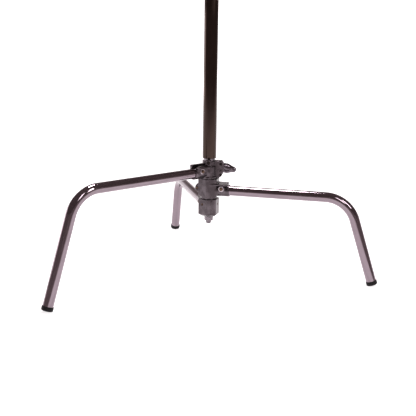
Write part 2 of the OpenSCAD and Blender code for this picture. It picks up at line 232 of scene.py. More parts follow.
def round_corners(profile: Sequence[tuple[float, ...]], steps: int = 4) -> list[tuple[float, float]]:
    """Rounds the corners of a turned outline.

    Args:
        profile: Points (radius, height) or (radius, height, corner radius).
        steps: Stretches in each round.

    Returns:
        The outline as (radius, height) points.
    """
    out: list[tuple[float, float]] = []
    for i, corner in enumerate(profile):
        if len(corner) < 3 or corner[2] <= 0 or i in (0, len(profile) - 1):
            out.append((corner[0], corner[1]))
            continue
        here = np.array(corner[:2], float)
        back = np.array(profile[i - 1][:2], float) - here
        ahead = np.array(profile[i + 1][:2], float) - here
        reach = min(corner[2], np.hypot(*back) * 0.49, np.hypot(*ahead) * 0.49)
        back, ahead = back / np.hypot(*back), ahead / np.hypot(*ahead)
        start, end = here + back * reach, here + ahead * reach
        weight = math.sqrt(max(0.0, 1 - float(back @ ahead)) / 2)
        for k in range(steps + 1):
            t = k / steps
            shares = (1 - t) ** 2, 2 * weight * t * (1 - t), t * t
            spot = (shares[0] * start + shares[1] * here + shares[2] * end) / sum(shares)
            out.append((float(spot[0]), float(spot[1])))
    return out


def stacked_rings(
    rings: Sequence[tuple[Radius, float]], segments: int, closed: bool
) -> tuple[np.ndarray, list[list[int]]]:
    """Builds a skin from rings, each a circle or a hexagon.

    Args:
        rings: Each ring's radius, or a function of angle, and its height.
        segments: Points in each ring.
        closed: True if the last ring joins the first, as in a washer.

    Returns:
        The points and the faces.
    """
    angle = np.arange(segments) * 2 * math.pi / segments
    points: list[np.ndarray] = []
    for radius, height in rings:
        r = radius(angle) if callable(radius) else np.full(segments, float(radius))
        points.append(np.stack([r * np.cos(angle), r * np.sin(angle), np.full(segments, height)], 1))
    faces: list[list[int]] = []
    last = len(rings) if closed else len(rings) - 1
    for i in range(last):
        low, high = i * segments, (i + 1) % len(rings) * segments
        for k in range(segments):
            nxt = (k + 1) % segments
            faces.append([low + k, low + nxt, high + nxt, high + k])
    if not closed:
        faces.append(list(range(segments))[::-1])
        top = (len(rings) - 1) * segments
        faces.append([top + k for k in range(segments)])
    return np.concatenate(points), faces


def turned(
    name: str,
    profile: Sequence[tuple[float, ...]],
    place: Matrix,
    material: bpy.types.Material,
    segments: int = 64,
    closed: bool = False,
) -> bpy.types.Object:
    """Turns an outline about +Z, with its corners rounded.

    Args:
        name: The object's name.
        profile: The outline from the bottom up, as round_corners reads it.
        place: The frame that it is turned in.
        material: Its finish.
        segments: Points round it.
        closed: True for a ring with a bore, whose outline ends where it starts.

    Returns:
        The new object.
    """
    if closed:
        looped = [profile[-1], *profile, profile[0]]
        rings = round_corners(looped)[1:-1]
    else:
        rings = round_corners(profile)
    points, faces = stacked_rings(rings, segments, closed)
    return make_piece(name, points, faces, place, material)


def hexagon_nut(
    name: str,
    width: float,
    height: float,
    bore: float,
    place: Matrix,
    material: bpy.types.Material,
    collar: float = 0.0,
) -> bpy.types.Object:
    """A nut with both faces chamfered, or with a round collar above its flats.

    Args:
        name: The object's name.
        width: Distance across its flats.
        height: Its thickness.
        bore: Radius of its hole.
        place: Its frame, with the lower face at the origin.
        material: Its finish.
        collar: Height of the collar, or 0 for none.

    Returns:
        The new object.
    """
    face = width / 2 * 0.97
    full = across_flats(width)
    slope = math.tan(math.radians(30))
    segments = 96
    angle = np.arange(segments) * 2 * math.pi / segments
    corner = full(angle)
    drop = np.maximum(corner - face, 0) * slope
    rows = [
        (np.full(segments, bore), np.full(segments, 0.5)),
        (np.full(segments, bore + 0.5), np.zeros(segments)),
        (np.full(segments, face), np.zeros(segments)),
        (corner, drop),
        (corner, height - collar - drop),
        (np.full(segments, face), np.full(segments, height - collar)),
        *([(np.full(segments, face), np.full(segments, float(height)))] if collar else []),
        (np.full(segments, bore + 0.5), np.full(segments, height)),
        (np.full(segments, bore), np.full(segments, height - 0.5)),
    ]
    points = np.concatenate([np.stack([r * np.cos(angle), r * np.sin(angle), z], 1) for r, z in rows])
    faces = []
    for i in range(len(rows)):
        low, high = i * segments, (i + 1) % len(rows) * segments
        for k in range(segments):
            after = (k + 1) % segments
            faces.append([low + k, low + after, high + after, high + k])
    return make_piece(name, points, faces, place, material, angle=24)


@dataclass(frozen=True)
class SocketScrew:
    """Sizes of a screw with a hexagon recess, in millimetres.

    Attributes:
        radius: Radius of its head.
        length: Length to its head's face.
        drive: Size of the recess.
        shank: Radius below the head, or 0 if the screw has no head.
        head: Height of the head.
    """

    radius: float
    length: float
    drive: Drive
    shank: float = 0.0
    head: float = 0.0


def socket_screw(
    name: str, size: SocketScrew, place: Matrix, material: bpy.types.Material
) -> bpy.types.Object:
    """A round screw with a hexagon recess, along +Z to its head's face.

    Args:
        name: The object's name.
        size: Its sizes.
        place: Its frame, with the far end at the origin.
        material: Its finish.

    Returns:
        The new object.
    """
    radius, top = size.radius, size.length
    recess = across_flats(size.drive.value)
    low = size.shank or radius
    rings: list[tuple[Radius, float]] = [(low - 0.5, 0.0), (low, 0.5)]
    if size.shank:
        rings += [(low, top - size.head), (radius - 0.15, top - size.head), (radius, top - size.head + 0.15)]
    rings += [(radius, top - 0.7), (radius - 0.22, top - 0.22), (radius - 0.7, top)]
    rings += [(size.drive.value / 2 * 1.2, top), (recess, top - 0.35), (recess, top - 2.4)]
    points, faces = stacked_rings(rings, 72, closed=False)
    return make_piece(name, points, faces, place, material, angle=24)


# ---------------------------------------------------------------- cast shapes


@dataclass
class CastField:
    """Distance to a cast shape on a regular grid, from which its skin is drawn.

    Attributes:
        low: Lowest corner of the grid, in millimetres.
        high: Highest corner of the grid.
        pitch: Grid spacing.
    """

    low: Point3
    high: Point3
    pitch: float
    x: np.ndarray = field(init=False)
    y: np.ndarray = field(init=False)
    z: np.ndarray = field(init=False)
    value: np.ndarray = field(init=False)

    def __post_init__(self) -> None:
        """Lays out the grid."""
        spans = zip(self.low, self.high)
        lines = [np.arange(a, b + self.pitch, self.pitch, dtype=np.float32) for a, b in spans]
        self.x, self.y, self.z = np.meshgrid(*lines, indexing="ij")
        self.value = np.full(self.x.shape, 1e3, np.float32)

    def turned_xy(self, azimuth: float) -> tuple[np.ndarray, np.ndarray]:
        """Plan coordinates in a frame turned round the post.

        Args:
            azimuth: Direction of the frame's +X, in degrees.

        Returns:
            The coordinates along and across that direction.
        """
        c, s = math.cos(math.radians(azimuth)), math.sin(math.radians(azimuth))
        return self.x * c + self.y * s, self.y * c - self.x * s

    def add(self, distance: np.ndarray, fillet: float = 0.0) -> None:
        """Adds a solid.

        Args:
            distance: The solid's distance on the grid.
            fillet: Size of the fillet where it meets what is there.
        """
        self.value = smooth_low(self.value, distance, fillet)

    def cut(self, distance: np.ndarray, fillet: float = 0.0) -> None:
        """Takes a solid away.

        Args:
            distance: The solid's distance on the grid.
            fillet: Size of the round left on the edge of the cut.
        """
        self.value = -smooth_low(-self.value, distance, fillet)

    def skin(self, name: str, place: Matrix, material: bpy.types.Material) -> bpy.types.Object:
        """Draws the surface as a mesh.

        Args:
            name: The object's name.
            place: The frame that the grid is in.
            material: The finish.

        Returns:
            The new object.
        """
        points, faces = surface_net(self.value)
        for _ in range(3):
            points = self.settled(points)
        points = points * self.pitch + np.array(self.low)
        return make_piece(name, points, faces, place, material, Shading.SMOOTH)

    def settled(self, points: np.ndarray) -> np.ndarray:
        """Moves points onto the surface along its slope.

        Args:
            points: The points, in grid steps.

        Returns:
            The moved points.
        """
        base = np.floor(points).astype(int)
        base = np.clip(base, 0, np.array(self.value.shape) - 2)
        part = points - base
        height = np.zeros(len(points))
        slope = np.zeros((len(points), 3))
        for corner in np.ndindex(2, 2, 2):
            sample = self.value[tuple((base + corner).T)]
            share = np.where(corner, part, 1 - part)
            height += sample * share.prod(1)
            for axis in range(3):
                others = np.delete(share, axis, 1).prod(1)
                slope[:, axis] += sample * others * (1 if corner[axis] else -1)
        step = height / np.maximum((slope**2).sum(1), 0.05)
        return points - np.clip(slope * step[:, None] * 0.8, -0.35, 0.35)


def smooth_low(a: np.ndarray, b: np.ndarray, fillet: float) -> np.ndarray:
    """The lower of two distances, blended where they are close.

    Args:
        a: One distance.
        b: The other.
        fillet: Width of the blend.

    Returns:
        The blended distance.
    """
    if fillet <= 0:
        return np.minimum(a, b)
    near = np.maximum(fillet - np.abs(a - b), 0) / fillet
    return np.minimum(a, b) - near * near * fillet * 0.25


def capped(outline: np.ndarray, along: np.ndarray, edge: float) -> np.ndarray:
    """Distance to an extruded shape with rounded edges.

    Args:
        outline: Distance to the outline.
        along: Distance past the ends, negative between them.
        edge: Radius of the edges.

    Returns:
        The distance to the solid.
    """
    a, b = outline + edge, along + edge
    return np.hypot(np.maximum(a, 0), np.maximum(b, 0)) + np.minimum(np.maximum(a, b), 0) - edge


def between(value: np.ndarray, low: float, high: float) -> np.ndarray:
    """Distance to the layer between two levels.

    Args:
        value: The coordinate.
        low: The lower level.
        high: The upper level.

    Returns:
        The distance, negative inside.
    """
    return np.abs(value - (low + high) / 2) - (high - low) / 2


def rod(grid: CastField, start: Point3, end: Point3, radius: float, edge: float = 0.0) -> np.ndarray:
    """Distance to a round rod with flat ends.

    Args:
        grid: The grid.
        start: Centre of one end.
        end: Centre of the other.
        radius: Its radius.
        edge: Round on its ends.

    Returns:
        The distance.
    """
    a, b = np.array(start, float), np.array(end, float)
    length = float(np.linalg.norm(b - a))
    d = (b - a) / length
    px, py, pz = grid.x - a[0], grid.y - a[1], grid.z - a[2]
    t = px * d[0] + py * d[1] + pz * d[2]
    across = np.sqrt(np.maximum(px * px + py * py + pz * pz - t * t, 0))
    return capped(across - radius, np.abs(t - length / 2) - length / 2, edge)


def surface_net(value: np.ndarray) -> tuple[np.ndarray, np.ndarray]:
    """Draws the surface where a sampled distance is zero.

    Args:
        value: The distance at each grid point.

    Returns:
        Points in grid steps, and faces of four with their outside outwards.
    """
    inside = value < 0
    shape = tuple(n - 1 for n in value.shape)
    total = np.zeros((*shape, 3), np.float32)
    count = np.zeros(shape, np.float32)
    crossings = []
    for axis in range(3):
        b, c = (axis + 1) % 3, (axis + 2) % 3
        low = np.take(value, range(value.shape[axis] - 1), axis)
        high = np.take(value, range(1, value.shape[axis]), axis)
        cross = (low < 0) != (high < 0)
        crossings.append(cross)
        with np.errstate(divide="ignore", invalid="ignore"):
            t = np.where(cross, low / (low - high), 0)
        for db in (0, 1):
            for dc in (0, 1):
                window = [slice(None)] * 3
                window[b], window[c] = slice(db, shape[b] + db), slice(dc, shape[c] + dc)
                hit = cross[tuple(window)]
                count += hit
                total[..., axis] += t[tuple(window)] * hit
                total[..., b] += db * hit
                total[..., c] += dc * hit
    used = count > 0
    number = np.full(shape, -1, np.int64)
    number[used] = np.arange(int(used.sum()))
    points = np.argwhere(used) + total[used] / count[used][:, None]
    faces = []
    for axis, cross in enumerate(crossings):
        b, c = (axis + 1) % 3, (axis + 2) % 3
        spots = np.argwhere(cross)
        keep = (spots[:, b] > 0) & (spots[:, c] > 0) & (spots[:, b] < shape[b]) & (spots[:, c] < shape[c])
        spots = spots[keep]
        ring = []
        for db, dc in ((-1, -1), (0, -1), (0, 0), (-1, 0)):
            cell = spots.copy()
            cell[:, b] += db
            cell[:, c] += dc
            ring.append(number[tuple(cell.T)])
        quads = np.stack(ring, 1)
        outwards = inside[tuple(spots.T)]
        faces.append(np.where(outwards[:, None], quads, quads[:, ::-1]))
    return points, np.concatenate(faces)


# ---------------------------------------------------------------- geometry nodes


class TreeMaker:
    """A Geometry Nodes tree with named inputs, which is run once to give a plain mesh."""

    def __init__(self, name: str, sizes: Sequence[str]) -> None:
        """Starts a tree.

        Args:
            name: The tree's name.
            sizes: Names of its number inputs.
        """
        self.tree = bpy.data.node_groups.new(name, "GeometryNodeTree")
        ports = self.tree.interface
        ports.new_socket("Geometry", in_out="INPUT", socket_type="NodeSocketGeometry")
        ports.new_socket("Geometry", in_out="OUTPUT", socket_type="NodeSocketGeometry")
        for size in sizes:
            ports.new_socket(size, in_out="INPUT", socket_type="NodeSocketFloat")
        ports.new_socket("Finish", in_out="INPUT", socket_type="NodeSocketMaterial")
        self.inputs = self.tree.nodes.new("NodeGroupInput")
        self.outputs = self.tree.nodes.new("NodeGroupOutput")

    def node(self, kind: str, settings: dict[str, object] | None = None, **wires: object) -> bpy.types.Node:
        """Adds a node.

        Args:
            kind: The node's type without its family name.
            settings: Its properties.
            wires: Its inputs by name, with underscores for spaces, as sockets or values.

        Returns:
            The node.
        """
        family = "" if kind.startswith("ShaderNode") else "GeometryNode"
        made = self.tree.nodes.new(family + kind)
        for key, value in (settings or {}).items():
            setattr(made, key, value)
        for key, value in wires.items():
            self.wire(value, next(s for s in made.inputs if s.enabled and s.name == key.replace("_", " ")))
        return made

    def wire(self, value: object, socket: bpy.types.NodeSocket) -> None:
        """Links a socket to an input, or sets the input's value."""
        if isinstance(value, bpy.types.NodeSocket):
            self.tree.links.new(value, socket)
        else:
            socket.default_value = value

    def size(self, name: str) -> bpy.types.NodeSocket:
        """The socket of a named input."""
        return self.inputs.outputs[name]

    def maths(self, operation: str, first: object, second: object = 0.0) -> bpy.types.NodeSocket:
        """Adds a sum.

        Args:
            operation: MULTIPLY, ADD, DIVIDE and so on.
            first: A socket or a number.
            second: A socket or a number.

        Returns:
            The result's socket.
        """
        made = self.tree.nodes.new("ShaderNodeMath")
        made.operation = operation
        self.wire(first, made.inputs[0])
        self.wire(second, made.inputs[1])
        return made.outputs[0]

    def end(self, geometry: bpy.types.NodeSocket) -> None:
        """Ends the tree in Realize Instances and Set Material.

        Args:
            geometry: The socket that holds the finished shape.
        """
        real = self.node("RealizeInstances", Geometry=geometry)
        smooth = self.node("SetShadeSmooth", Geometry=real.outputs[0])
        final = self.node("SetMaterial", Geometry=smooth.outputs[0], Material=self.size("Finish"))
        self.tree.links.new(final.outputs[0], self.outputs.inputs[0])

    def run(
        self,
        name: str,
        base: bpy.types.Mesh,
        place: Matrix,
        material: bpy.types.Material,
        angle: float = 32.0,
        **sizes: float,
    ) -> bpy.types.Object:
        """Runs the tree and keeps its result as a plain mesh.

        Args:
            name: The new object's name.
            base: The mesh that goes in, in millimetres.
            place: The frame that the result is in, in millimetres.
            material: The finish.
            angle: Edges sharper than this stay crisp, in degrees.
            sizes: The tree's number inputs.

        Returns:
            The new object.
        """
        carrier = bpy.data.objects.new(name + "_carrier", base)
        bpy.context.scene.collection.objects.link(carrier)
        modifier = carrier.modifiers.new("tree", "NODES")
        modifier.node_group = self.tree
        for item in self.tree.interface.items_tree:
            if item.in_out == "INPUT" and item.name in sizes:
                modifier[item.identifier] = float(sizes[item.name])
            if item.in_out == "INPUT" and item.name == "Finish":
                modifier[item.identifier] = material
        bpy.context.view_layer.update()
        graph = bpy.context.evaluated_depsgraph_get()
        mesh = bpy.data.meshes.new_from_object(carrier.evaluated_get(graph))
        bpy.data.objects.remove(carrier)
        mesh.name = name
        mesh.transform(Matrix.Scale(MM, 4) @ place)
        mesh.materials.clear()
        mesh.materials.append(material)
        return dressed_object(name, mesh, Shading.BY_ANGLE, angle)


def bent_tube_tree() -> TreeMaker:
    """A round tube along a path whose corners are bent to a radius."""
    tree = TreeMaker("bent_tube", ["Tube_radius", "Bend_radius", "Wall"])
    path = tree.node("MeshToCurve", Mesh=tree.inputs.outputs["Geometry"])
    bend = tree.node("FilletCurve", Curve=path.outputs[0], Radius=tree.size("Bend_radius"), Limit_Radius=True)
    choose_mode(bend, "Poly")
    bend.inputs["Count"].default_value = 40
    outer = tree.node("CurvePrimitiveCircle", Resolution=64, Radius=tree.size("Tube_radius"))
    bore = tree.maths("SUBTRACT", tree.size("Tube_radius"), tree.size("Wall"))
    inner = tree.node("CurvePrimitiveCircle", Resolution=64, Radius=bore)
    skin = tree.node("CurveToMesh", Curve=bend.outputs[0], Profile_Curve=outer.outputs[0])
    lining = tree.node("CurveToMesh", Curve=bend.outputs[0], Profile_Curve=inner.outputs[0])
    flipped = tree.node("FlipFaces", Mesh=lining.outputs[0])
    both = tree.node("JoinGeometry")
    tree.tree.links.new(skin.outputs[0], both.inputs[0])
    tree.tree.links.new(flipped.outputs[0], both.inputs[0])
    tree.end(both.outputs[0])
    return tree


def choose_mode(node: bpy.types.Node, label: str) -> None:
    """Sets a node's mode, which is a property or a menu input.

    Args:
        node: The node.
        label: The mode's name.
    """
    if hasattr(node, "mode"):
        node.mode = label.upper()
    else:
        node.inputs["Mode"].default_value = label


def coil_tree() -> TreeMaker:
    """A wire or a thread's ridge that climbs round +Z."""
    tree = TreeMaker("coil", ["Turns", "Coil_radius", "Rise", "Wire_radius", "Sides"])
    path = tree.node(
        "CurveSpiral",
        Resolution=48,
        Rotations=tree.size("Turns"),
        Start_Radius=tree.size("Coil_radius"),
        End_Radius=tree.size("Coil_radius"),
        Height=tree.size("Rise"),
    )
    wire = tree.node("CurvePrimitiveCircle", Resolution=tree.size("Sides"), Radius=tree.size("Wire_radius"))
    skin = tree.node("CurveToMesh", Curve=path.outputs[0], Profile_Curve=wire.outputs[0], Fill_Caps=True)
    tree.end(skin.outputs[0])
    return tree


def ring_tree() -> TreeMaker:
    """Copies of one shape turned round +Z by equal steps."""
    tree = TreeMaker("ring_of_copies", ["Count", "Step_degrees"])
    spots = tree.node("Points", Count=tree.size("Count"))
    index = tree.node("InputIndex")
    degrees = tree.maths("MULTIPLY", index.outputs[0], tree.size("Step_degrees"))
    turn = tree.node("ShaderNodeCombineXYZ", Z=tree.maths("RADIANS", degrees))
    copies = tree.node(
        "InstanceOnPoints",
        Points=spots.outputs[0],
        Instance=tree.inputs.outputs["Geometry"],
        Rotation=turn.outputs[0],
    )
    tree.end(copies.outputs[0])
    return tree


def row_tree() -> TreeMaker:
    """Copies of one shape along +Z at equal steps."""
    tree = TreeMaker("row_of_copies", ["Count", "Step"])
    index = tree.node("InputIndex")
    shift = tree.node("ShaderNodeCombineXYZ", Z=tree.maths("MULTIPLY", index.outputs[0], tree.size("Step")))
    spots = tree.node("Points", Count=tree.size("Count"), Position=shift.outputs[0])
    copies = tree.node("InstanceOnPoints", Points=spots.outputs[0], Instance=tree.inputs.outputs["Geometry"])
    tree.end(copies.outputs[0])
    return tree


def bare_mesh(made: bpy.types.Object) -> bpy.types.Mesh:
    """Turns a scratch object back into a mesh in millimetres, to go into a tree.

    Args:
        made: The object, which is used up.

    Returns:
        Its mesh.
    """
    mesh = made.data
    bpy.data.objects.remove(made)
    mesh.transform(Matrix.Scale(1 / MM, 4))
    return mesh


def path_mesh(corners: Sequence[Point3]) -> bpy.types.Mesh:
    """Makes a line of edges.

    Args:
        corners: Its points, in millimetres.

    Returns:
        The mesh.
    """
    mesh = bpy.data.meshes.new("path")
    mesh.from_pydata([list(c) for c in corners], [(i, i + 1) for i in range(len(corners) - 1)], [])
    return mesh


# ---------------------------------------------------------------- finishes


class NodeSheet:
    """Adds and links the nodes of one material."""

    def __init__(self, name: str) -> None:
        """Starts a material.

        Args:
            name: The material's name.
        """
        self.material = bpy.data.materials.new(name)
        self.material.use_nodes = True
        self.tree = self.material.node_tree
        self.surface = self.tree.nodes["Principled BSDF"]
        self.spot = self.tree.nodes.new("ShaderNodeTexCoord").outputs["Object"]

    def set(self, **values: object) -> None:
        """Sets or links inputs of the surface shader, with underscores for spaces."""
        for key, value in values.items():
            self.wire(value, self.surface.inputs[key.replace("_", " ")])

    def wire(self, value: object, socket: bpy.types.NodeSocket) -> None:
        """Links a socket to an input, or sets the input's value."""
        if isinstance(value, bpy.types.NodeSocket):
            self.tree.links.new(value, socket)
        else:
            socket.default_value = value

    def noise(
        self, per_metre: float, detail: float = 3.0, stretch: Point3 = (1, 1, 1)
    ) -> bpy.types.NodeSocket:
        """Adds noise.

        Args:
            per_metre: Blotches in a metre.
            detail: Finer layers on top.
            stretch: Factor on each axis.

        Returns:
            The noise's value, about 0.5.
        """
        mapping = self.tree.nodes.new("ShaderNodeMapping")
        mapping.inputs["Scale"].default_value = stretch
        self.tree.links.new(self.spot, mapping.inputs["Vector"])
        made = self.tree.nodes.new("ShaderNodeTexNoise")
        made.inputs["Scale"].default_value = per_metre
        made.inputs["Detail"].default_value = detail
        self.tree.links.new(mapping.outputs[0], made.inputs["Vector"])
        return made.outputs["Fac"]

    def spread(self, value: object, low: float, high: float, at: tuple[float, float] = (0.3, 0.7)) -> object:
        """Maps a value onto a range.

        Args:
            value: The value's socket.
            low: Result at the first end.
            high: Result at the other end.
            at: The two ends.

        Returns:
            The result's socket.
        """
        made = self.tree.nodes.new("ShaderNodeMapRange")
        for socket, number in zip(made.inputs[1:5], (*at, low, high)):
            socket.default_value = number
        self.tree.links.new(value, made.inputs[0])
        return made.outputs[0]

    def mix(self, share: object, first: tuple[float, ...], second: tuple[float, ...]) -> bpy.types.NodeSocket:
        """Mixes two colours.

        Args:
            share: How much of the second, as a socket.
            first: One colour.
            second: The other colour.

        Returns:
            The mixed colour's socket.
        """
        made = self.tree.nodes.new("ShaderNodeMix")
        made.data_type = "RGBA"
        ports = [s for s in made.inputs if s.enabled]
        self.wire(share, ports[0])
        self.wire((*first, 1.0), ports[1])
        self.wire((*second, 1.0), ports[2])
        return next(s for s in made.outputs if s.enabled)

    def away(self, spot: Point3, stretch: Point3) -> bpy.types.NodeSocket:
        """Adds the distance from a spot.

        Args:
            spot: The spot, in metres, after the stretch.
            stretch: Factor on each axis.

        Returns:
            The distance.
        """
        mapping = self.tree.nodes.new("ShaderNodeMapping")
        mapping.inputs["Location"].default_value = tuple(-k for k in spot)
        mapping.inputs["Scale"].default_value = stretch
        self.tree.links.new(self.spot, mapping.inputs["Vector"])
        made = self.tree.nodes.new("ShaderNodeVectorMath")
        made.operation = "LENGTH"
        self.tree.links.new(mapping.outputs[0], made.inputs[0])
        return made.outputs["Value"]

    def bump(self, height: bpy.types.NodeSocket, depth_mm: float) -> None:
        """Raises the surface a little.

        Args:
            height: The height's socket, 0 to 1.
            depth_mm: Height of 1, in millimetres.
        """
        made = self.tree.nodes.new("ShaderNodeBump")
        made.inputs["Strength"].default_value = 1.0
        made.inputs["Distance"].default_value = depth_mm * MM
        self.tree.links.new(height, made.inputs["Height"])
        self.tree.links.new(made.outputs[0], self.surface.inputs["Normal"])


Colour = tuple[float, float, float]


@dataclass(frozen=True)
class PlatedTube:
    """Bright plate on a drawn tube, with faint draw lines and handling marks."""

    name: str
    colour: Colour
    polish: float = 0.07
    haze: float = 0.16

    def make(self) -> bpy.types.Material:
        """Builds the material."""
        sheet = NodeSheet(self.name)
        marks = sheet.noise(26, 6)
        fine = sheet.noise(900, 2)
        handled = tuple(c * 0.88 for c in self.colour)
        sheet.set(
            Base_Color=sheet.mix(sheet.spread(marks, 0, 1), self.colour, handled),
            Metallic=1.0,
            Roughness=sheet.spread(marks, self.polish, self.haze, (0.45, 0.75)),
        )
        sheet.bump(fine, 0.004)
        return sheet.material


@dataclass(frozen=True)
class CastMetal:
    """Satin cast metal: fine grain and a few rubbed patches."""

    name: str
    colour: Colour
    rubbed: Colour
    roughness: float = 0.34

    def make(self) -> bpy.types.Material:
        """Builds the material."""
        sheet = NodeSheet(self.name)
        patches = sheet.noise(48, 5)
        grain = sheet.noise(620, 4)
        sheet.set(
            Base_Color=sheet.mix(sheet.spread(patches, 0, 1, (0.42, 0.66)), self.colour, self.rubbed),
            Metallic=0.95,
            Roughness=sheet.spread(grain, self.roughness - 0.07, self.roughness + 0.1),
        )
        sheet.bump(grain, 0.05)
        return sheet.material


@dataclass(frozen=True)
class TurnedMetal:
    """Metal straight from the lathe or the header, with rings or scratches and small stains."""

    name: str
    colour: Colour
    stain: Colour
    roughness: float = 0.22

    def make(self) -> bpy.types.Material:
        """Builds the material."""
        sheet = NodeSheet(self.name)
        stains = sheet.noise(150, 4)
        lines = sheet.noise(300, 2, (1, 1, 9))
        sheet.set(
            Base_Color=sheet.mix(sheet.spread(stains, 0, 1, (0.45, 0.7)), self.colour, self.stain),
            Metallic=1.0,
            Roughness=sheet.spread(lines, self.roughness - 0.06, self.roughness + 0.08),
        )
        sheet.bump(lines, 0.012)
        return sheet.material


@dataclass(frozen=True)
class Moulding:
    """Moulded rubber or nylon, matt, with a fine pebble."""

    name: str
    colour: Colour
    worn: Colour
    roughness: float = 0.6

    def make(self) -> bpy.types.Material:
        """Builds the material."""
        sheet = NodeSheet(self.name)
        wear = sheet.noise(90, 5)
        pebble = sheet.noise(1100, 2)
        sheet.set(
            Base_Color=sheet.mix(sheet.spread(wear, 0, 1, (0.45, 0.72)), self.colour, self.worn),
            Metallic=0.0,
            Roughness=sheet.spread(wear, self.roughness - 0.08, self.roughness + 0.1),
            Specular_IOR_Level=0.22,
        )
        sheet.bump(pebble, 0.03)
        return sheet.material


@dataclass(frozen=True)
class PaleFloor:
    """Plain pale studio sweep that glows as a painted pool of light round the stand, lighting it from beneath
    and fading with distance, with painted dim shade overhead.
    """

    name: str = "pale_floor"
    pale: Colour = (0.86, 0.85, 0.86)
    dim: Colour = (0.12, 0.10, 0.10)
    lit: Colour = (1.0, 0.985, 0.995)
    unlit: Colour = (1.0, 0.82, 0.79)
    glow: float = 0.80
    room: float = 0.105
    pool: tuple[float, float] = (5.85, 6.9)

    def make(self) -> bpy.types.Material:
        """Builds the material."""
        sheet = NodeSheet(self.name)
        # The floor glows: a painted pool of light, brightest round a spot behind the stand and fading to a
        # faint glow away from it.
        away = sheet.away((-0.8, 5.0, 0), (1, 1, 3))
        above = sheet.away((0, 0, 0), (0, 0, 1))
        # Painted shade: the sweep's colour turns from pale to dim with height, standing in for the unlit room
        # overhead.
        pale_below_painted_dim_above = sheet.mix(sheet.spread(above, 0, 1, (0.6, 3.0)), self.pale, self.dim)
        sheet.set(
            Base_Color=pale_below_painted_dim_above,
            Roughness=0.9,
            Specular_IOR_Level=0.1,
            Emission_Color=sheet.mix(sheet.spread(away, 0, 1, self.pool), self.lit, self.unlit),
            Emission_Strength=sheet.spread(away, self.glow, self.room, self.pool),
        )
        return sheet.material


class Finish(Enum):
    """The stand's finishes."""

    CAST = CastMetal("cast_metal", (0.070, 0.057, 0.063), (0.125, 0.104, 0.115), 0.22)
    HANDLE = CastMetal("cast_handle", (0.11, 0.092, 0.105), (0.20, 0.168, 0.19), 0.18)
    LEG = PlatedTube("chrome_leg", (0.27, 0.217, 0.246), 0.05, 0.12)
    # The column's plate is the leg chrome made far darker: partly a dark finish, partly painted shade standing
    # in for the dim room that it reflects.
    COLUMN = PlatedTube("dark_chrome", (0.052, 0.035, 0.030), 0.12, 0.22)
    RISER = PlatedTube("chrome_riser", (0.34, 0.29, 0.32), 0.09, 0.18)
    TURNED = TurnedMetal("turned_steel", (0.22, 0.19, 0.21), (0.14, 0.12, 0.13))
    ZINC = TurnedMetal("zinc_hardware", (0.50, 0.44, 0.48), (0.30, 0.26, 0.28), 0.2)
    NUT = TurnedMetal("nut_steel", (0.16, 0.14, 0.155), (0.09, 0.078, 0.085), 0.24)
    COPPER = TurnedMetal("copper_rivet", (0.17, 0.105, 0.075), (0.06, 0.040, 0.030), 0.3)
    DARK = TurnedMetal("dark_steel", (0.030, 0.024, 0.024), (0.06, 0.045, 0.04), 0.32)
    BRONZE = TurnedMetal("bronze", (0.42, 0.28, 0.14), (0.26, 0.17, 0.09), 0.3)
    NYLON = Moulding("nylon", (0.70, 0.69, 0.64), (0.60, 0.58, 0.52), 0.45)
    RUBBER = Moulding("foot_rubber", (0.0045, 0.004, 0.005), (0.014, 0.012, 0.013), 0.58)


class Finishes:
    """Makes each finish once."""

    def __init__(self) -> None:
        """Builds every material."""
        self.made = {finish: finish.value.make() for finish in Finish}

    def __getitem__(self, finish: Finish) -> bpy.types.Material:
        """The material of a finish."""
        return self.made[finish]


# ---------------------------------------------------------------- sub-assemblies


def body_of(node: str) -> str:
    """Finds the body that a CAD node belongs to.

    Args:
        node: The node's name.

    Returns:
        The body's name.
    """
    bodies = frame["record"]["behaviour"]["bodies"]
    return next(body for body, nodes in bodies.items() if node in nodes)


class SubAssembly:
    """Finished pieces that take the place of CAD nodes."""

    def __init__(self, finishes: Finishes, trees: "Trees") -> None:
        """Starts with no pieces.

        Args:
            finishes: The stand's materials.
            trees: The Geometry Nodes trees.
        """
        self.finishes = finishes
        self.trees = trees

    def keep(self, piece: bpy.types.Object, node: str, finish: Finish) -> None:
        """Puts a piece in the place of a CAD node.

        Args:
            piece: The finished piece.
            node: The node that it replaces.
            finish: Its finish, whose name goes into the log.
        """
        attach(piece, body_of(node))
        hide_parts(node)
        LOG.info("%s: %d faces, %s", piece.name, len(piece.data.polygons), finish.value.name)

    def ring(
        self,
        name: str,
        bore: float,
        radius: float,
        height: float,
        place: Matrix,
        finish: Finish,
        edge: float = 0.3,
    ) -> bpy.types.Object:
        """Turns a plain ring with broken edges.

        Args:
            name: The object's name.
            bore: Radius of its hole.
            radius: Its outer radius.
            height: Its height.
            place: Its frame.
            finish: Its finish.
            edge: Round on its edges.

        Returns:
            The new object.
        """
        outline = [(bore, 0, edge), (radius, 0, edge), (radius, height, edge), (bore, height, edge)]
        return turned(name, outline, place, self.finishes[finish], 72, closed=True)


@dataclass
class Trees:
    """The Geometry Nodes trees, each built once."""

    bent_tube: TreeMaker = field(default_factory=bent_tube_tree)
    coil: TreeMaker = field(default_factory=coil_tree)
    ring: TreeMaker = field(default_factory=ring_tree)
    row: TreeMaker = field(default_factory=row_tree)


@dataclass(frozen=True)
class LegSize:
    """Sizes of one leg, in millimetres and degrees."""

    level: str
    azimuth: float
    run: float
    reach: float
    side: int
    lean: float = 17.9
    tube: float = 12.7
    wall: float = 1.6
    bend: float = 78.0
    start: float = 28.0
    bolt: float = 36.0
    rise: float = 6.0
    socket: float = 15.5
    cap: float = 14.0
    cap_height: float = 11.0
    cap_round: float = 3.0
    cap_wear: float = 0.8


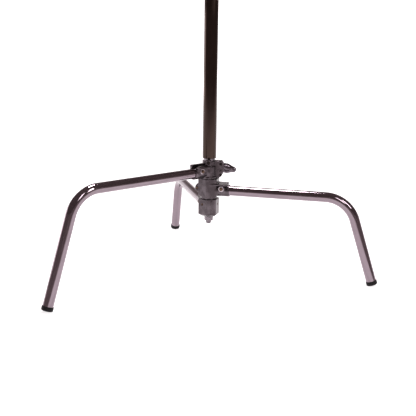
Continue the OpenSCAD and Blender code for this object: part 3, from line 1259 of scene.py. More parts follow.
class Leg(SubAssembly):
    """One leg: bent tube, foot cap, and the bolt that holds it in its socket."""

    def __init__(self, finishes: Finishes, trees: Trees, size: LegSize) -> None:
        """Takes the leg's sizes.

        Args:
            finishes: The stand's materials.
            trees: The Geometry Nodes trees.
            size: The leg's sizes.
        """
        super().__init__(finishes, trees)
        self.size = size
        self.lean = math.radians(size.lean)
        ring = size.cap - size.cap_round
        self.foot_z = ring * math.sin(self.lean) + size.cap_round - size.cap_wear
        self.foot_x = size.reach - self.foot_z * math.tan(self.lean)

    def build(self) -> None:
        """Builds the leg's pieces."""
        self.tube()
        self.cap()
        self.bolt()

    def tube(self) -> None:
        """The tube, bent once between its run and its drop."""
        s = self.size
        corner = s.reach - s.run * math.tan(self.lean)
        down = Vector((math.sin(self.lean), 0, -math.cos(self.lean)))
        end = Vector((self.foot_x, 0, self.foot_z)) + down * (s.cap_round - 3.0)
        path = path_mesh([(s.start, 0, s.run), (corner, 0, s.run), tuple(end)])
        name = f"{s.level}_leg_tube_finished"
        made = self.trees.bent_tube.run(
            name,
            path,
            post_frame(s.azimuth),
            self.finishes[Finish.LEG],
            Tube_radius=s.tube,
            Bend_radius=s.bend,
            Wall=s.wall,
        )
        close_tube_ends(made.data)
        self.keep(made, f"{s.level}_leg_tube", Finish.LEG)

    def cap(self) -> None:
        """The rubber cap, with a rolled mouth, two grooves and a flat worn on its bottom edge."""
        s = self.size
        mouth = s.cap_round - s.cap_height
        ring = s.cap - s.cap_round
        turns = np.radians(range(0, 91, 15))
        sole = [(ring + s.cap_round * math.cos(a), s.cap_round * math.sin(a)) for a in turns]
        outline = [
            (1.0, 0.0),
            (s.tube, 0.0, 0.3),
            (s.tube, mouth, 0.4),
            (s.cap - 0.1, mouth, 0.6),
            (s.cap, mouth + 1.8, 0.4),
            (s.cap - 0.45, mouth + 2.2, 0.2),
            (s.cap - 0.45, mouth + 2.9, 0.2),
            (s.cap, mouth + 3.3, 0.4),
            *sole,
            (s.cap - 4.5, s.cap_round, 0.3),
            (s.cap - 5.0, s.cap_round - 0.5, 0.3),
            (s.cap - 6.0, s.cap_round - 0.5, 0.3),
            (s.cap - 6.5, s.cap_round, 0.3),
            (1.0, s.cap_round),
        ]
        foot = Matrix.Translation((self.foot_x, 0, self.foot_z))
        tilt = foot @ Matrix.Rotation(math.pi - self.lean, 4, "Y")
        name = f"{s.level}_foot_cap_finished"
        made = turned(name, outline, post_frame(s.azimuth) @ tilt, self.finishes[Finish.RUBBER], 80)
        for vertex in made.data.vertices:
            vertex.co.z = max(vertex.co.z, 0.0)
        self.keep(made, f"{s.level}_foot_cap", Finish.RUBBER)

    def bolt(self) -> None:
        """The rivet-headed bolt, its washers and its nut."""
        s = self.size
        across = post_frame(s.azimuth, s.run + s.rise) @ toward((s.bolt, 0, 0), (0, s.side, 0))
        outline = [
            (1.0, -21.0),
            (3.0, -21.0, 0.6),
            (3.0, 17.6),
            (4.6, 17.6, 0.2),
            (4.6, 19.0, 0.6),
            (3.9, 20.3, 1.0),
            (2.4, 21.0, 0.8),
            (1.9, 20.9, 0.2),
            (1.4, 20.3, 0.2),
            (0.5, 20.2),
        ]
        bolt = turned(f"{s.level}_leg_bolt_finished", outline, across, self.finishes[Finish.COPPER], 48)
        self.keep(bolt, f"{s.level}_leg_bolt", Finish.COPPER)
        seats = [across @ Matrix.Translation((0, 0, k * (s.socket + 1.05) - 0.75)) for k in (-1, 1)]
        rings = [self.ring("washer", 3.05, 7.0, 1.5, seat, Finish.ZINC) for seat in seats]
        self.keep(joined(f"{s.level}_leg_washers_finished", rings), f"{s.level}_leg_washers", Finish.ZINC)
        behind = across @ Matrix.Translation((0, 0, -22.2))
        nut = hexagon_nut(f"{s.level}_leg_nut_finished", 10.04, 4.6, 3.05, behind, self.finishes[Finish.NUT])
        self.keep(nut, f"{s.level}_leg_nut", Finish.NUT)


def close_tube_ends(mesh: bpy.types.Mesh) -> None:
    """Joins the skin and the lining of a tube at both ends.

    Args:
        mesh: The tube's mesh, with four open rings.
    """
    work = bmesh.new()
    work.from_mesh(mesh)
    rims = [e for e in work.edges if e.is_boundary]
    first = rims[0].verts[0].co.copy()
    near = [e for e in rims if (e.verts[0].co - first).length < 0.06]
    far = [e for e in rims if (e.verts[0].co - first).length >= 0.06]
    for group in (near, far):
        bmesh.ops.bridge_loops(work, edges=group)
    bmesh.ops.recalc_face_normals(work, faces=work.faces)
    for face in work.faces:
        face.smooth = True
    work.to_mesh(mesh)
    work.free()
    mesh.set_sharp_from_angle(angle=math.radians(40))


HUB_PLAN = ((-26, 12.5), (-26, -12.5), (0, -28), (24, -16), (24, 16), (0, 28))


def hub_plan(grid: CastField, azimuth: float) -> np.ndarray:
    """Distance to the six-sided plan of a leg casting.

    Args:
        grid: The grid.
        azimuth: Direction of its leg.

    Returns:
        The distance.
    """
    u, v = grid.turned_xy(azimuth)
    return convex(u, v, HUB_PLAN, 1.2)


def convex(x: np.ndarray, y: np.ndarray, corners: Sequence[tuple[float, float]], fillet: float) -> np.ndarray:
    """Distance to a convex outline with rounded corners.

    Args:
        x: First coordinate.
        y: Second coordinate.
        corners: Its corners, anticlockwise.
        fillet: Size of the rounds.

    Returns:
        The distance, negative inside.
    """
    result: np.ndarray | None = None
    for (ax, ay), (bx, by) in zip(corners, [*corners[1:], corners[0]]):
        length = math.hypot(bx - ax, by - ay)
        side = ((x - ax) * (by - ay) - (y - ay) * (bx - ax)) / length
        result = side if result is None else -smooth_low(-result, -side, fillet)
    return result


class Hub(SubAssembly):
    """The three castings on the king post, with everything that holds them together."""

    TOP_AZ, MIDDLE_AZ, BOTTOM_AZ = 221.0, 346.0, 104.0
    TOP_RUN, MIDDLE_RUN, BOTTOM_RUN = 268.0, 220.5, 175.0
    TOP_BASE, MIDDLE_BASE, BOTTOM_BASE = 251.4, 206.0, 151.5
    BOLT, RISE, CLAMP_X, CLAMP_Z = 36.0, 6.0, 26.5, 275.0
    BOSS_AZ, BOSS_Z, EAR_X, EAR_PITCH = 266.0, 295.3, 29.3, 28.6
    SOCKET, SOCKET_END, LEG_BORE, PIN_HOLE = 15.5, 55.0, 12.72, 3.02
    POST_HOLE, BUSH_HOLE, WASHER_HOLE = 7.05, 9.06, 18.0
    GRUB_SIDES, GRUB_Z = (-121, 121), 184.0
    GAP, PITCH = 0.4, 0.68

    def build(self) -> None:
        """Builds the hub's pieces."""
        self.top_casting()
        self.middle_casting()
        self.bottom_casting()
        self.post()
        self.bearings()
        self.spring()
        self.screws()

    def socket(self, grid: CastField, azimuth: float, run: float, fillet: float) -> None:
        """Adds a leg's socket with its bolt bosses.

        Args:
            grid: The casting.
            azimuth: Direction of the leg.
            run: Height of the leg's run.
            fillet: Size of the fillet against the hub.
        """
        u, v = grid.turned_xy(azimuth)
        across = np.hypot(v, grid.z - run)
        grid.add(capped(across - self.SOCKET, between(u, 0, self.SOCKET_END), 1.0), fillet)
        boss = np.hypot(u - self.BOLT, grid.z - run - self.RISE)
        grid.add(capped(boss - 8, np.abs(v) - self.SOCKET - 0.3, 0.5), 1.2)

    def socket_bores(self, grid: CastField, azimuth: float, run: float) -> None:
        """Cuts the leg's bore and the bolt's hole.

        Args:
            grid: The casting.
            azimuth: Direction of the leg.
            run: Height of the leg's run.
        """
        u, v = grid.turned_xy(azimuth)
        grid.cut(np.maximum(np.hypot(v, grid.z - run) - self.LEG_BORE, 27.5 - u), 0.5)
        grid.cut(np.hypot(u - self.BOLT, grid.z - run - self.RISE) - self.PIN_HOLE)

    def bore(self, grid: CastField, radius: float, low: float, high: float, edge: float = 0.0) -> None:
        """Cuts a round hole on the post's axis between two heights."""
        grid.cut(np.maximum(np.hypot(grid.x, grid.y) - radius, between(grid.z, low, high)), edge)

    def top_casting(self) -> None:
        """Receiver for the column: barrel, open-topped leg socket, clamp ears and screw boss."""
        base, rim, run, shoulder = self.TOP_BASE, 297.0, self.TOP_RUN, 284.0
        grid = CastField((-56, -51, 248), (42, 27, 306), self.PITCH)
        u, v = grid.turned_xy(self.TOP_AZ)
        x, y, z = grid.x, grid.y, grid.z
        off = np.hypot(u - 4, v)
        grid.add(capped(np.hypot(x, y) - 17.8, between(z, base + 1, rim), 1.0))
        grid.add(capped(off - 20.3, between(z, base, shoulder), 2.2), 1)
        grid.add(capped(off - 23, between(z, base, base + 5.6), 0.8), 1.4)
        self.socket(grid, self.TOP_AZ, run, 4)
        near = convex(u, z, [(0, 262), (50, 262), (55, 268), (55, 277), (50, 286.5), (45, 287), (0, 287)], 4)
        far = convex(u, z, [(0, 262), (48, 262), (52, 269), (52, 289), (0, 289)], 2)
        root = np.maximum(np.abs(v) - self.SOCKET, between(u, 0, 28))
        grid.add(capped(root, between(z, run, shoulder), 2.0), 1.5)
        grid.add(capped(near, between(v, 6.5, self.SOCKET), 2.4), 2)
        grid.add(capped(far, between(v, -self.SOCKET, -6.5), 1.2), 2)
        outline = [(4, 251.8), (23, 251.8), (31, 256), (35.5, 263), (38, 273), (38, 291), (34, 297), (4, 297)]
        grid.add(capped(convex(x, z, outline, 3), np.abs(y) - 9.5, 1.3), 1.2)
        c, s = math.cos(math.radians(self.BOSS_AZ)), math.sin(math.radians(self.BOSS_AZ))
        grid.add(rod(grid, (16 * c, 16 * s, self.BOSS_Z), (29.5 * c, 29.5 * s, self.BOSS_Z), 7.2, 0.8), 1.5)
        self.bore(grid, 14.33, 259, 320, 0.5)
        self.bore(grid, self.POST_HOLE, 240, 262)
        self.bore(grid, self.WASHER_HOLE, 240, base + 1.6)
        grid.cut(np.maximum(np.abs(y) - 1.5, -x), 0.4)
        clamp = np.hypot(x - self.CLAMP_X, z - self.CLAMP_Z)
        grid.cut(np.maximum(clamp - 5.05, -7.5 - y))
        grid.cut(np.maximum(clamp - 4.4, y + 8.7), 0.5)
        for k in (-0.5, 0.5):
            hole = np.hypot(x - self.EAR_X, z - self.CLAMP_Z - k * self.EAR_PITCH)
            grid.cut(hole - 2.55)
            grid.cut(np.maximum(hole - 3.35, y + 5.0), 0.3)
        grid.cut(rod(grid, (10 * c, 10 * s, self.BOSS_Z), (40 * c, 40 * s, self.BOSS_Z), 4.05), 0.4)
        for k in range(12):
            p, q = math.cos(math.radians(30 * k + 15)), math.sin(math.radians(30 * k + 15))
            along, aside = (u - 4) * p + v * q, v * p - (u - 4) * q
            grid.cut(np.maximum(np.hypot(aside, z - base) - 2, 20.6 - along), 0.4)
        self.socket_bores(grid, self.TOP_AZ, run)
        grid.cut(np.maximum(np.maximum(np.abs(v) - 6.5, 28 - u), run - z), 0.8)
        grid.cut(z - base)
        made = grid.skin("top_casting_finished", post_frame(), self.finishes[Finish.CAST])
        self.keep(made, "top_casting", Finish.CAST)

    def leg_casting(self, grid: CastField, azimuth: float, run: float) -> None:
        """Adds the plate and the socket that both lower castings share.

        Args:
            grid: The casting.
            azimuth: Direction of the leg.
            run: Height of the leg's run.
        """
        u, v = grid.turned_xy(azimuth)
        self.socket(grid, azimuth, run, 4)
        plan = convex(u, v, [(-4, -24), (20, -22), (50, -20), (50, 20), (20, 22), (-4, 24)], 2)
        grid.add(capped(plan, between(grid.z, run + 14.5, run + 18.5), 0.8), 1.6)
        web = np.maximum(np.abs(v) - 9, between(u, 0, 50))
        grid.add(capped(web, between(grid.z, run, run + 16), 0.6), 2)

    def middle_casting(self) -> None:
        """Six-sided casting with a top plate over its leg socket, a tail lug and a pointed skirt."""
        base, top, az = self.MIDDLE_BASE, self.TOP_BASE - self.GAP, self.MIDDLE_AZ
        grid = CastField((-42, -38, 195), (62, 38, 254), self.PITCH)
        u, v = grid.turned_xy(az)
        z = grid.z
        grid.add(capped(hub_plan(grid, az), between(z, base, top), 0.9))
        self.leg_casting(grid, az, self.MIDDLE_RUN)
        lug = [(-20, 213), (-31, 216), (-35, 221), (-35, 229), (-30, 236), (-20, 240)]
        grid.add(capped(convex(u, z, lug[::-1], 2), np.abs(v) - 9, 1.4), 2)
        p, q = grid.turned_xy(az - 90)
        point = convex(q, z, [(-24, 207), (0, 198.8), (24, 207)], 0.8)
        grid.add(np.maximum(capped(hub_plan(grid, az), point, 0.7), 8 - p), 0.4)
        self.bore(grid, self.BUSH_HOLE, 190, 262)
        self.bore(grid, self.WASHER_HOLE, 190, base + 1.6)
        self.bore(grid, 21.3, 190, base)
        self.socket_bores(grid, az, self.MIDDLE_RUN)
        grid.cut(np.hypot(u + 30, z - 225) - 2.52)
        made = grid.skin("middle_casting_finished", post_frame(), self.finishes[Finish.CAST])
        self.keep(made, "middle_casting", Finish.CAST)

    def bottom_casting(self) -> None:
        """Six-sided casting that steps in below, with a rib at its tail and a round neck."""
        base, top, az = self.BOTTOM_BASE, self.MIDDLE_BASE - self.GAP, self.BOTTOM_AZ
        grid = CastField((-38, -38, 148), (38, 62, 208), self.PITCH)
        u, v = grid.turned_xy(az)
        z = grid.z
        taper = np.clip(0.7 + 0.3 * (z - base) / 5.5, 0.7, 1)
        plan = convex(u / taper, v / taper, HUB_PLAN, 1.2) * taper
        grid.add(capped(plan, between(z, base, 210), 0.9))
        self.leg_casting(grid, az, self.BOTTOM_RUN)
        rib = np.maximum(np.abs(v) - 1.5, between(u, -27.5, -17))
        grid.add(capped(rib, between(z, 157.5, 193.9), 0.6), 1.2)
        grid.cut(198 - z, 0.8)
        grid.add(capped(np.hypot(u, v) - 20.8, between(z, 190, top), 0.6), 1.0)
        self.bore(grid, self.BUSH_HOLE, 140, 210)
        self.bore(grid, 12.5, 140, 178, 0.5)
        self.socket_bores(grid, az, self.BOTTOM_RUN)
        for side in self.GRUB_SIDES:
            p, q = grid.turned_xy(az + side)
            grid.cut(np.maximum(np.hypot(q, z - self.GRUB_Z) - self.PIN_HOLE, 8 - p))
        made = grid.skin("bottom_casting_finished", post_frame(), self.finishes[Finish.CAST])
        self.keep(made, "bottom_casting", Finish.CAST)

    def post(self) -> None:
        """King post with its head in the receiver and a thread below the nut."""
        outline = [
            (1.0, 132.2),
            (1.6, 131.0, 0.2),
            (5.4, 131.0),
            (6.5, 132.2),
            (6.5, 160.0),
            (7.0, 161.0),
            (7.0, 259.0),
            (11.0, 259.0, 0.4),
            (11.0, 264.0, 1.2),
            (1.0, 264.0),
        ]
        steel = self.finishes[Finish.TURNED]
        core = turned("post_core", outline, post_frame(), steel)
        thread = self.trees.coil.run(
            "post_thread",
            path_mesh([(0, 0, 0)]),
            post_frame(0, 132.6),
            steel,
            Turns=17,
            Coil_radius=6.45,
            Rise=25.5,
            Wire_radius=0.54,
            Sides=4,
        )
        self.keep(joined("king_post_finished", [core, thread]), "king_post", Finish.TURNED)
        nut = hexagon_nut("tension_nut_finished", 20.6, 13.0, 7.02, post_frame(15, 138.7), steel, collar=3.0)
        self.keep(nut, "tension_nut", Finish.TURNED)

    def bearings(self) -> None:
        """Thrust washers between the castings and bushings inside them."""
        levels = (("upper_thrust_washer", self.TOP_BASE), ("lower_thrust_washer", self.MIDDLE_BASE))
        for name, height in levels:
            place = post_frame(0, height - self.GAP + 0.35)
            made = self.ring(name + "_finished", 7.02, 17.5, 1.2, place, Finish.BRONZE, 0.25)
            self.keep(made, name, Finish.BRONZE)
        spans = (
            ("middle_bushing", self.MIDDLE_BASE + 2.6, self.TOP_BASE - self.GAP - self.MIDDLE_BASE - 3),
            ("bottom_bushing", 178.0, self.MIDDLE_BASE - self.GAP - 178.4),
        )
        for name, low, height in spans:
            made = self.ring(name + "_finished", 7.05, 9.05, height, post_frame(0, low), Finish.BRONZE, 0.4)
            self.keep(made, name, Finish.BRONZE)

    def spring(self) -> None:
        """Pressure spring and the seat that it stands on."""
        coil = self.trees.coil.run(
            "pressure_spring_finished",
            path_mesh([(0, 0, 0)]),
            post_frame(0, self.BOTTOM_BASE + 3.4),
            self.finishes[Finish.DARK],
            angle=60,
            Turns=4,
            Coil_radius=10.0,
            Rise=21.5,
            Wire_radius=1.2,
            Sides=14,
        )
        self.keep(coil, "pressure_spring", Finish.DARK)
        place = post_frame(0, self.BOTTOM_BASE + 0.2)
        seat = self.ring("spring_seat_finished", 7.05, 12.0, 1.8, place, Finish.ZINC, 0.5)
        self.keep(seat, "spring_seat", Finish.ZINC)

    def screws(self) -> None:
        """Stop pin, bushing screws, receiver screw and ear bolts."""
        pin_frame = post_frame(self.MIDDLE_AZ, 225) @ toward((-30, -10, 0), (0, 1, 0))
        outline = [(0.6, 0.0), (2.5, 0.0, 0.7), (2.5, 20.0, 0.7), (0.6, 20.0)]
        pin = turned("stop_pin_finished", outline, pin_frame, self.finishes[Finish.COPPER], 40)
        self.keep(pin, "stop_pin", Finish.COPPER)
        grubs = [
            socket_screw(
                "grub",
                SocketScrew(3.0, 12.0, Drive.FINE),
                post_frame(self.BOTTOM_AZ + side, self.GRUB_Z) @ toward((12, 0, 0), (1, 0, 0)),
                self.finishes[Finish.COPPER],
            )
            for side in self.GRUB_SIDES
        ]
        self.keep(joined("bushing_screws_finished", grubs), "bushing_screws", Finish.COPPER)
        front = post_frame(self.BOSS_AZ, self.BOSS_Z) @ toward((14.63, 0, 0), (1, 0, 0))
        size = SocketScrew(4.0, 15.0, Drive.COARSE)
        screw = socket_screw("spigot_screw_finished", size, front, self.finishes[Finish.DARK])
        self.keep(screw, "spigot_screw", Finish.DARK)
        bolts = [
            socket_screw(
                "ear_bolt",
                SocketScrew(3.3, 18.2, Drive.FINE, 2.5, 3.7),
                post_frame(0, self.CLAMP_Z + k * self.EAR_PITCH) @ toward((self.EAR_X, 9.5, 0), (0, -1, 0)),
                self.finishes[Finish.DARK],
            )
            for k in (-0.5, 0.5)
        ]
        self.keep(joined("ear_bolts_finished", bolts), "ear_bolts", Finish.DARK)


@dataclass(frozen=True)
class WingPad:
    """A flattened ball that a wing runs through, in millimetres."""

    x: float
    z: float
    radius: float
    flat: float

    def values(self) -> tuple[float, float, float, float]:
        """Its numbers in order."""
        return self.x, self.z, self.radius, self.flat


@dataclass(frozen=True)
class HandleSize:
    """Sizes of a lock handle and its screw, in millimetres."""

    handle: str
    screw: str
    grip: float
    gap: float = 0.4
    hub: float = 11.0
    hub_height: float = 18.0
    screw_radius: float = 5.0


class LockHandle(SubAssembly):
    """A two-winged handle on its screw."""

    def __init__(self, finishes: Finishes, trees: Trees, size: HandleSize, seat: Matrix, tilt: float) -> None:
        """Takes the handle's sizes and place.

        Args:
            finishes: The stand's materials.
            trees: The Geometry Nodes trees.
            size: The handle's sizes.
            seat: Frame on the face that it clamps, +Z outwards.
            tilt: Turn of the wings at rest, in degrees.
        """
        super().__init__(finishes, trees)
        self.size = size
        self.seat = seat
        self.tilt = tilt

    def build(self) -> None:
        """Builds the handle and the screw."""
        s = self.size
        grid = CastField((-48, -15, -2), (48, 15, 38), 0.6)
        grid.add(rod(grid, (0, 0, 0), (0, 0, s.hub_height), s.hub, 1.4))
        root = WingPad(0, 17.5, 13.4, 0.66)
        waist = WingPad(21, 23.5, 11.9, 0.66)
        tip = WingPad(38, 29.5, 7.5, 0.85)
        for side in (-1, 1):
            grid.add(self.wing(grid, side, root, waist), 1.5)
            grid.add(self.wing(grid, side, waist, tip), 3)
        grid.add(rod(grid, (0, 0, 20), (0, 0, 27.6), 7.0, 1.2), 1.5)
        grid.cut(np.maximum(np.hypot(grid.x, grid.y) - s.screw_radius, grid.z - 16))
        grid.cut(grid.z)
        turn = Matrix.Rotation(math.radians(self.tilt), 4, "Z")
        place = self.seat @ turn @ Matrix.Translation((0, 0, s.gap))
        made = grid.skin(s.handle + "_finished", place, self.finishes[Finish.HANDLE])
        self.keep(made, s.handle, Finish.HANDLE)
        length = s.grip + s.gap + 14
        outline = [(0.8, 0.0), (3.8, 0.0), (4.6, 0.8), (4.6, length - 0.5), (0.8, length)]
        start = self.seat @ Matrix.Translation((0, 0, -s.grip))
        core = turned("screw_core", outline, start, self.finishes[Finish.ZINC], 48)
        thread = self.trees.coil.run(
            "screw_thread",
            path_mesh([(0, 0, 0)]),
            start @ Matrix.Translation((0, 0, 1.2)),
            self.finishes[Finish.ZINC],
            Turns=(length - 2) / 1.5,
            Coil_radius=4.5,
            Rise=length - 2,
            Wire_radius=0.48,
            Sides=4,
        )
        self.keep(joined(s.screw + "_finished", [core, thread]), s.screw, Finish.ZINC)

    def wing(self, grid: CastField, side: int, start: WingPad, end: WingPad) -> np.ndarray:
        """Distance to the stretch of a wing between two flattened balls.

        Args:
            grid: The grid.
            side: 1 or -1, the side of the hub.
            start: The ball nearer the hub.
            end: The ball farther out.

        Returns:
            The distance.
        """
        x = grid.x * side
        t = np.clip((x - start.x) / (end.x - start.x), 0, 1)
        mid, height, radius, flat = (a + (b - a) * t for a, b in zip(start.values(), end.values()))
        away = np.sqrt((x - mid) ** 2 + grid.y**2 + ((grid.z - height) / flat) ** 2)
        return (away - radius) * flat


@dataclass(frozen=True)
class CollarSize:
    """Sizes of a collar on the end of a tube, in millimetres."""

    name: str
    mouth: float
    tube: float
    guide: float
    azimuth: float
    boss: float
    grip: float = 20.0
    height: float = 28.0
    wall: float = 5.0


class Collar(SubAssembly):
    """A cast collar that grips one tube and guides the next, with three rivets."""

    def __init__(self, finishes: Finishes, trees: Trees, size: CollarSize) -> None:
        """Takes the collar's sizes.

        Args:
            finishes: The stand's materials.
            trees: The Geometry Nodes trees.
            size: The collar's sizes.
        """
        super().__init__(finishes, trees)
        self.size = size

    def build(self) -> None:
        """Builds the collar and its rivets."""
        s = self.size
        outer = s.tube + s.wall
        low, top = s.mouth - s.grip, s.mouth + s.height
        grid = CastField((-40, -26, low - 3), (40, 26, top + 3), 0.66)
        u, v = grid.turned_xy(s.azimuth)
        z, r = grid.z, np.hypot(grid.x, grid.y)
        grid.add(capped(r - outer + 1, np.abs(z - (low + s.mouth + 2) / 2) - (s.grip + 2) / 2, 0.8))
        grid.add(capped(r - outer, np.abs(z - s.mouth - (s.height - 3) / 2) - (s.height - 3) / 2, 0.9), 0.8)
        grid.add(capped(r - outer + 1.5, np.abs(z - top + 3) - 3, 0.9), 0.5)
        boss = np.hypot(v, z - s.mouth - s.height / 2)
        grid.add(capped(boss - 10.5, np.abs(u - s.boss / 2) - s.boss / 2, 0.8), 3)
        grid.cut(np.maximum(r - s.tube, np.maximum(z - s.mouth, low - 5 - z)), 0.4)
        grid.cut(np.maximum(r - s.guide - 0.05, s.mouth - z), 0.5)
        grid.cut(np.maximum(boss - 5.05, -u))
        for k in (60, 180, 300):
            p, q = grid.turned_xy(s.azimuth + k)
            grid.cut(np.maximum(np.hypot(q, z - s.mouth + s.grip / 2) - 2.02, -p))
        made = grid.skin(s.name + "_finished", post_frame(), self.finishes[Finish.CAST])
        self.keep(made, s.name, Finish.CAST)
        rivet = bare_mesh(rivet_head("rivet", s.tube + 0.1, s.tube + s.wall, self.finishes[Finish.DARK]))
        ring = self.trees.ring.run(
            s.name + "_rivets_finished",
            rivet,
            post_frame(s.azimuth + 60, s.mouth - s.grip / 2),
            self.finishes[Finish.DARK],
            Count=3,
            Step_degrees=120,
        )
        self.keep(ring, s.name + "_rivets", Finish.DARK)


def rivet_head(name: str, inner: float, outer: float, material: bpy.types.Material) -> bpy.types.Object:
    """A domed rivet along +X.

    Args:
        name: The object's name.
        inner: Distance of its inner end from the axis.
        outer: Distance of its seat from the axis.
        material: Its finish.

    Returns:
        The new object.
    """
    seat = outer - 0.8
    shank = [(0.6, inner), (2.0, inner), (2.0, seat)]
    outline = [*shank, (3.4, seat, 0.2), (3.3, seat + 0.5, 0.4), (0.6, seat + 1.2)]
    return turned(name, outline, toward((0, 0, 0), (1, 0, 0)), material, 28)


class Column(SubAssembly):
    """The lift-off column: spigot, dark tube and pins."""

    LOW, LENGTH, RADIUS, WALL = 303.0, 470.0, 17.5, 2.0

    def build(self) -> None:
        """Builds the column's pieces."""
        top = self.LOW + self.LENGTH
        bore = self.RADIUS - self.WALL
        outline = [
            (bore, self.LOW, 0.5),
            (self.RADIUS, self.LOW, 0.9),
            (self.RADIUS, top, 0.5),
            (bore, top, 0.5),
        ]
        # The tube's very dark plate is partly painted shade, for the dim room that it reflects.
        plate = self.finishes[Finish.COLUMN]
        tube = turned("column_tube_finished", outline, post_frame(), plate, 112, closed=True)
        self.keep(tube, "column_tube", Finish.COLUMN)
        spigot = [
            (1.0, 264.6),
            (12.25, 264.6, 0.3),
            (14.25, 266.6, 0.4),
            (14.25, 289.3, 0.4),
            (13.6, 290.4, 0.6),
            (13.6, 292.6, 0.6),
            (14.25, 293.7, 0.4),
            (14.25, 303.0),
            (15.48, 303.2, 0.3),
            (15.48, 343.0, 0.8),
            (1.0, 343.0),
        ]
        made = turned("column_spigot_finished", spigot, post_frame(), self.finishes[Finish.TURNED], 96)
        self.keep(made, "column_spigot", Finish.TURNED)
        ends = (0.5, 34.9)
        pin = [(0.5, 0.0), (1.7, 0.05, 0.3), *[(2.5, z, 0.3) for z in ends], (1.7, 35.35, 0.3), (0.5, 35.4)]
        place = toward((-17.7, 0, 0), (1, 0, 0))
        one = bare_mesh(turned("pin", pin, place, self.finishes[Finish.ZINC], 28))
        pins = self.trees.row.run(
            "spigot_pins_finished", one, post_frame(0, 315), self.finishes[Finish.ZINC], Count=2, Step=18
        )
        self.keep(pins, "spigot_pins", Finish.ZINC)


class Risers(SubAssembly):
    """The two telescopic risers, their nylon bushes and the mounting pin."""

    def build(self) -> None:
        """Builds the risers' pieces."""
        self.riser("riser_1", 15.0, 347.0, 821.4, 15.45)
        self.riser("riser_2", 12.5, 352.0, 861.4, 13.45)
        pin = [
            (1.0, 831.4),
            (11.0, 831.4, 0.5),
            (11.0, 861.4),
            (12.5, 861.4, 0.3),
            (12.5, 864.4, 0.5),
            (8.0, 868.4, 1.0),
            (8.0, 943.4, 0.4),
            (6.5, 944.9, 0.2),
            (3.2, 944.9, 0.2),
            (2.6, 943.6, 0.2),
            (2.6, 934.0),
        ]
        made = turned("baby_pin_finished", pin, post_frame(), self.finishes[Finish.TURNED], 80)
        self.keep(made, "baby_pin", Finish.TURNED)
        heads = []
        for side in (-1, 1):
            outline = [(0.5, 0.0), (3.0, 0.0, 0.1), (2.8, 0.5, 0.3), (0.5, 0.8)]
            place = post_frame(0, 855.4) @ toward((0, side * 12.5, 0), (0, side, 0))
            heads.append(turned("head", outline, place, self.finishes[Finish.DARK], 32))
        self.keep(joined("pin_rivet_finished", heads), "pin_rivet", Finish.DARK)

    def riser(self, name: str, radius: float, low: float, top: float, guide: float) -> None:
        """Builds one riser's tube and bush.

        Args:
            name: The riser's name.
            radius: Its radius.
            low: Height of its lower end.
            top: Height of its upper end.
            guide: Radius of the bush round its lower end.
        """
        outline = [(radius - 1.5, low, 0.4), (radius, low, 0.5), (radius, top, 0.5), (radius - 1.5, top, 0.4)]
        plate, nylon = self.finishes[Finish.RISER], self.finishes[Finish.NYLON]
        tube = turned(name + "_tube_finished", outline, post_frame(), plate, 96, closed=True)
        self.keep(tube, name + "_tube", Finish.RISER)
        sides = [(radius + 0.02, 0, 0.2), (guide, 0, 0.3), (guide, 11, 0.1), (guide - 0.15, 11.6, 0.1)]
        sides += [(guide - 0.15, 13.4, 0.1), (guide, 14, 0.1), (guide, 25, 0.3), (radius + 0.02, 25, 0.2)]
        bush = turned(name + "_bush_finished", sides, post_frame(0, low), nylon, 72, closed=True)
        self.keep(bush, name + "_bush", Finish.NYLON)


# ---------------------------------------------------------------- studio


@dataclass(frozen=True)
class Lamp:
    """One soft light, in metres, with its aim."""

    name: str
    spot: Point3
    aim: Point3
    width: float
    height: float
    watts: float
    colour: Colour = (1.0, 0.97, 0.98)


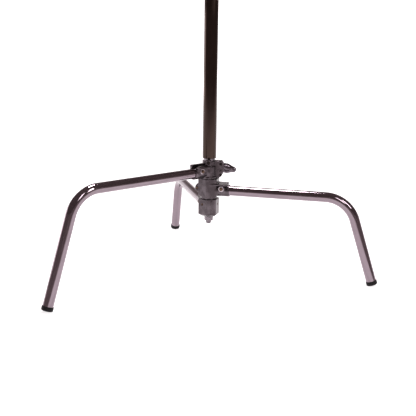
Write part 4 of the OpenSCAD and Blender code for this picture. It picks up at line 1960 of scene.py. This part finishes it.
class Studio:
    """Pale floor that turns up behind the stand, soft lights and the camera."""

    LAMPS = (
        Lamp("overhead", (-0.2, 0.6, 2.7), (0.0, 0.1, 0.0), 0.7, 0.4, 40),
        Lamp("back_wash", (0.0, 5.0, 3.2), (0.0, 7.6, 0.4), 5.0, 0.4, 150),
        Lamp("left_soft", (-2.6, 0.9, 0.45), (0.0, 0.0, 0.2), 1.2, 0.8, 10),
        Lamp("right_window", (1.24, -1.15, 1.38), (-0.3, -0.3, 0.26), 0.35, 0.8, 8),
        Lamp("front_window", (0.64, -1.69, 1.48), (-0.3, -0.3, 0.26), 0.35, 0.8, 6),
    )

    def build(self) -> None:
        """Builds the studio."""
        self.floor()
        for lamp in self.LAMPS:
            self.light(lamp)
        self.room()
        self.camera()

    def floor(self) -> None:
        """A wide floor that curves up into a round wall and a ceiling."""
        wide, bend, top = 7000.0, 2500.0, 6500.0
        arc = [math.radians(6 * k) for k in range(16)]
        outline = [(1.0, 0.0), *[(1000.0 * k, 0.0) for k in range(1, 8)]]
        outline += [(wide + bend * math.sin(a), bend * (1 - math.cos(a))) for a in arc[1:]]
        outline += [(wide + bend * math.cos(a), top - bend * (1 - math.sin(a))) for a in arc]
        outline += [(1.0, top)]
        turned("studio_floor", outline, Matrix.Identity(4), PaleFloor().make(), 128)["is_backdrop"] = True

    def light(self, lamp: Lamp) -> None:
        """Adds a soft light.

        Args:
            lamp: Its sizes and place.
        """
        data = bpy.data.lights.new(lamp.name, "AREA")
        data.shape = "RECTANGLE"
        data.size, data.size_y = lamp.width, lamp.height
        data.energy, data.color = lamp.watts, lamp.colour
        made = bpy.data.objects.new(lamp.name, data)
        made.location = lamp.spot
        made.visible_camera = False
        made.rotation_euler = (Vector(lamp.aim) - Vector(lamp.spot)).to_track_quat("-Z", "Y").to_euler()
        bpy.context.scene.collection.objects.link(made)

    def room(self) -> None:
        """The dim room round the lights."""
        world = bpy.data.worlds.new("room")
        world.use_nodes = True
        sky = world.node_tree.nodes["Background"]
        sky.inputs["Color"].default_value = (0.064, 0.050, 0.048, 1)
        sky.inputs["Strength"].default_value = 1.0
        bpy.context.scene.world = world
        bpy.context.scene.view_settings.view_transform = "Standard"

    def camera(self) -> None:
        """Puts the camera in front of the stand, a little above the hub."""
        data = bpy.data.cameras.new("front_camera")
        data.sensor_width, data.lens = 36.0, 67.67
        data.clip_end = 60.0
        made = bpy.data.objects.new("front_camera", data)
        ahead = Vector((-0.000848, 0.971549, -0.236838)).normalized()
        right = ahead.cross(Vector((0, 0, 1))).normalized()
        up = right.cross(ahead)
        roll = math.radians(0.79)
        right, up = right * math.cos(roll) + up * math.sin(roll), up * math.cos(roll) - right * math.sin(roll)
        turn = Matrix((right, up, -ahead)).transposed().to_4x4()
        made.matrix_world = Matrix.Translation(POST * MM + Vector((-0.00005, -1.97895, 0.653))) @ turn
        bpy.context.scene.collection.objects.link(made)
        bpy.context.scene.camera = made


# ---------------------------------------------------------------- the whole stand


class Stand:
    """Builds every sub-assembly and the studio."""

    LEGS = (
        LegSize("top", 221.0, 268.0, 482.0, 1),
        LegSize("middle", 346.0, 220.5, 429.0, -1),
        LegSize("bottom", 104.0, 175.0, 438.0, 1),
    )
    COLLARS = (
        CollarSize("column_collar", 773.0, 17.5, 15.0, 0.0, 36.0),
        CollarSize("riser_1_collar", 821.4, 15.0, 12.5, 180.0, 33.0),
    )

    def __init__(self) -> None:
        """Makes the finishes and the trees."""
        self.finishes = Finishes()
        self.trees = Trees()

    def build(self) -> None:
        """Builds the stand."""
        kit = (self.finishes, self.trees)
        for size in self.LEGS:
            Leg(*kit, size).build()
        Hub(*kit).build()
        Column(*kit).build()
        Risers(*kit).build()
        for size in self.COLLARS:
            Collar(*kit, size).build()
        self.handles(kit)
        Studio().build()

    def handles(self, kit: tuple[Finishes, Trees]) -> None:
        """Builds the three lock handles.

        Args:
            kit: The finishes and the trees.
        """
        base = HandleSize("base_handle", "base_handle_screw", 16.0)
        place = Matrix.Translation((Hub.CLAMP_X, 9.5, 0)) @ Matrix.Rotation(-math.pi / 2, 4, "X")
        seat = post_frame(0, Hub.CLAMP_Z) @ place
        LockHandle(*kit, base, seat, 14.0).build()
        column = HandleSize("column_handle", "column_handle_screw", 36 - 15 - 0.3)
        LockHandle(*kit, column, self.collar_seat(0, 787, 36), 0.0).build()
        riser = HandleSize("riser_handle", "riser_handle_screw", 33 - 12.5 - 0.3)
        LockHandle(*kit, riser, self.collar_seat(180, 835.4, 33), 0.0).build()

    def collar_seat(self, azimuth: float, height: float, boss: float) -> Matrix:
        """Frame on the face of a collar's boss.

        Args:
            azimuth: Direction of the boss.
            height: Its height.
            boss: Distance of its face from the post.

        Returns:
            The frame, +Z outwards.
        """
        out = Matrix.Rotation(math.pi / 2, 4, "Y") @ Matrix.Rotation(math.pi / 2, 4, "Z")
        return post_frame(azimuth, height) @ Matrix.Translation((boss, 0, 0)) @ out


def plain(value: object) -> object:
    """Turns bounds into plain lists of numbers."""
    if isinstance(value, (int, float)):
        return float(value)
    return [plain(v) for v in value]


def main() -> None:
    """Builds the stand."""
    logging.basicConfig(level=logging.INFO, format="%(name)s: %(message)s")
    Stand().build()
    {"cad": plain(CAD_BOX), "finished": plain(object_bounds())}


if __name__ == "__main__":
    main()
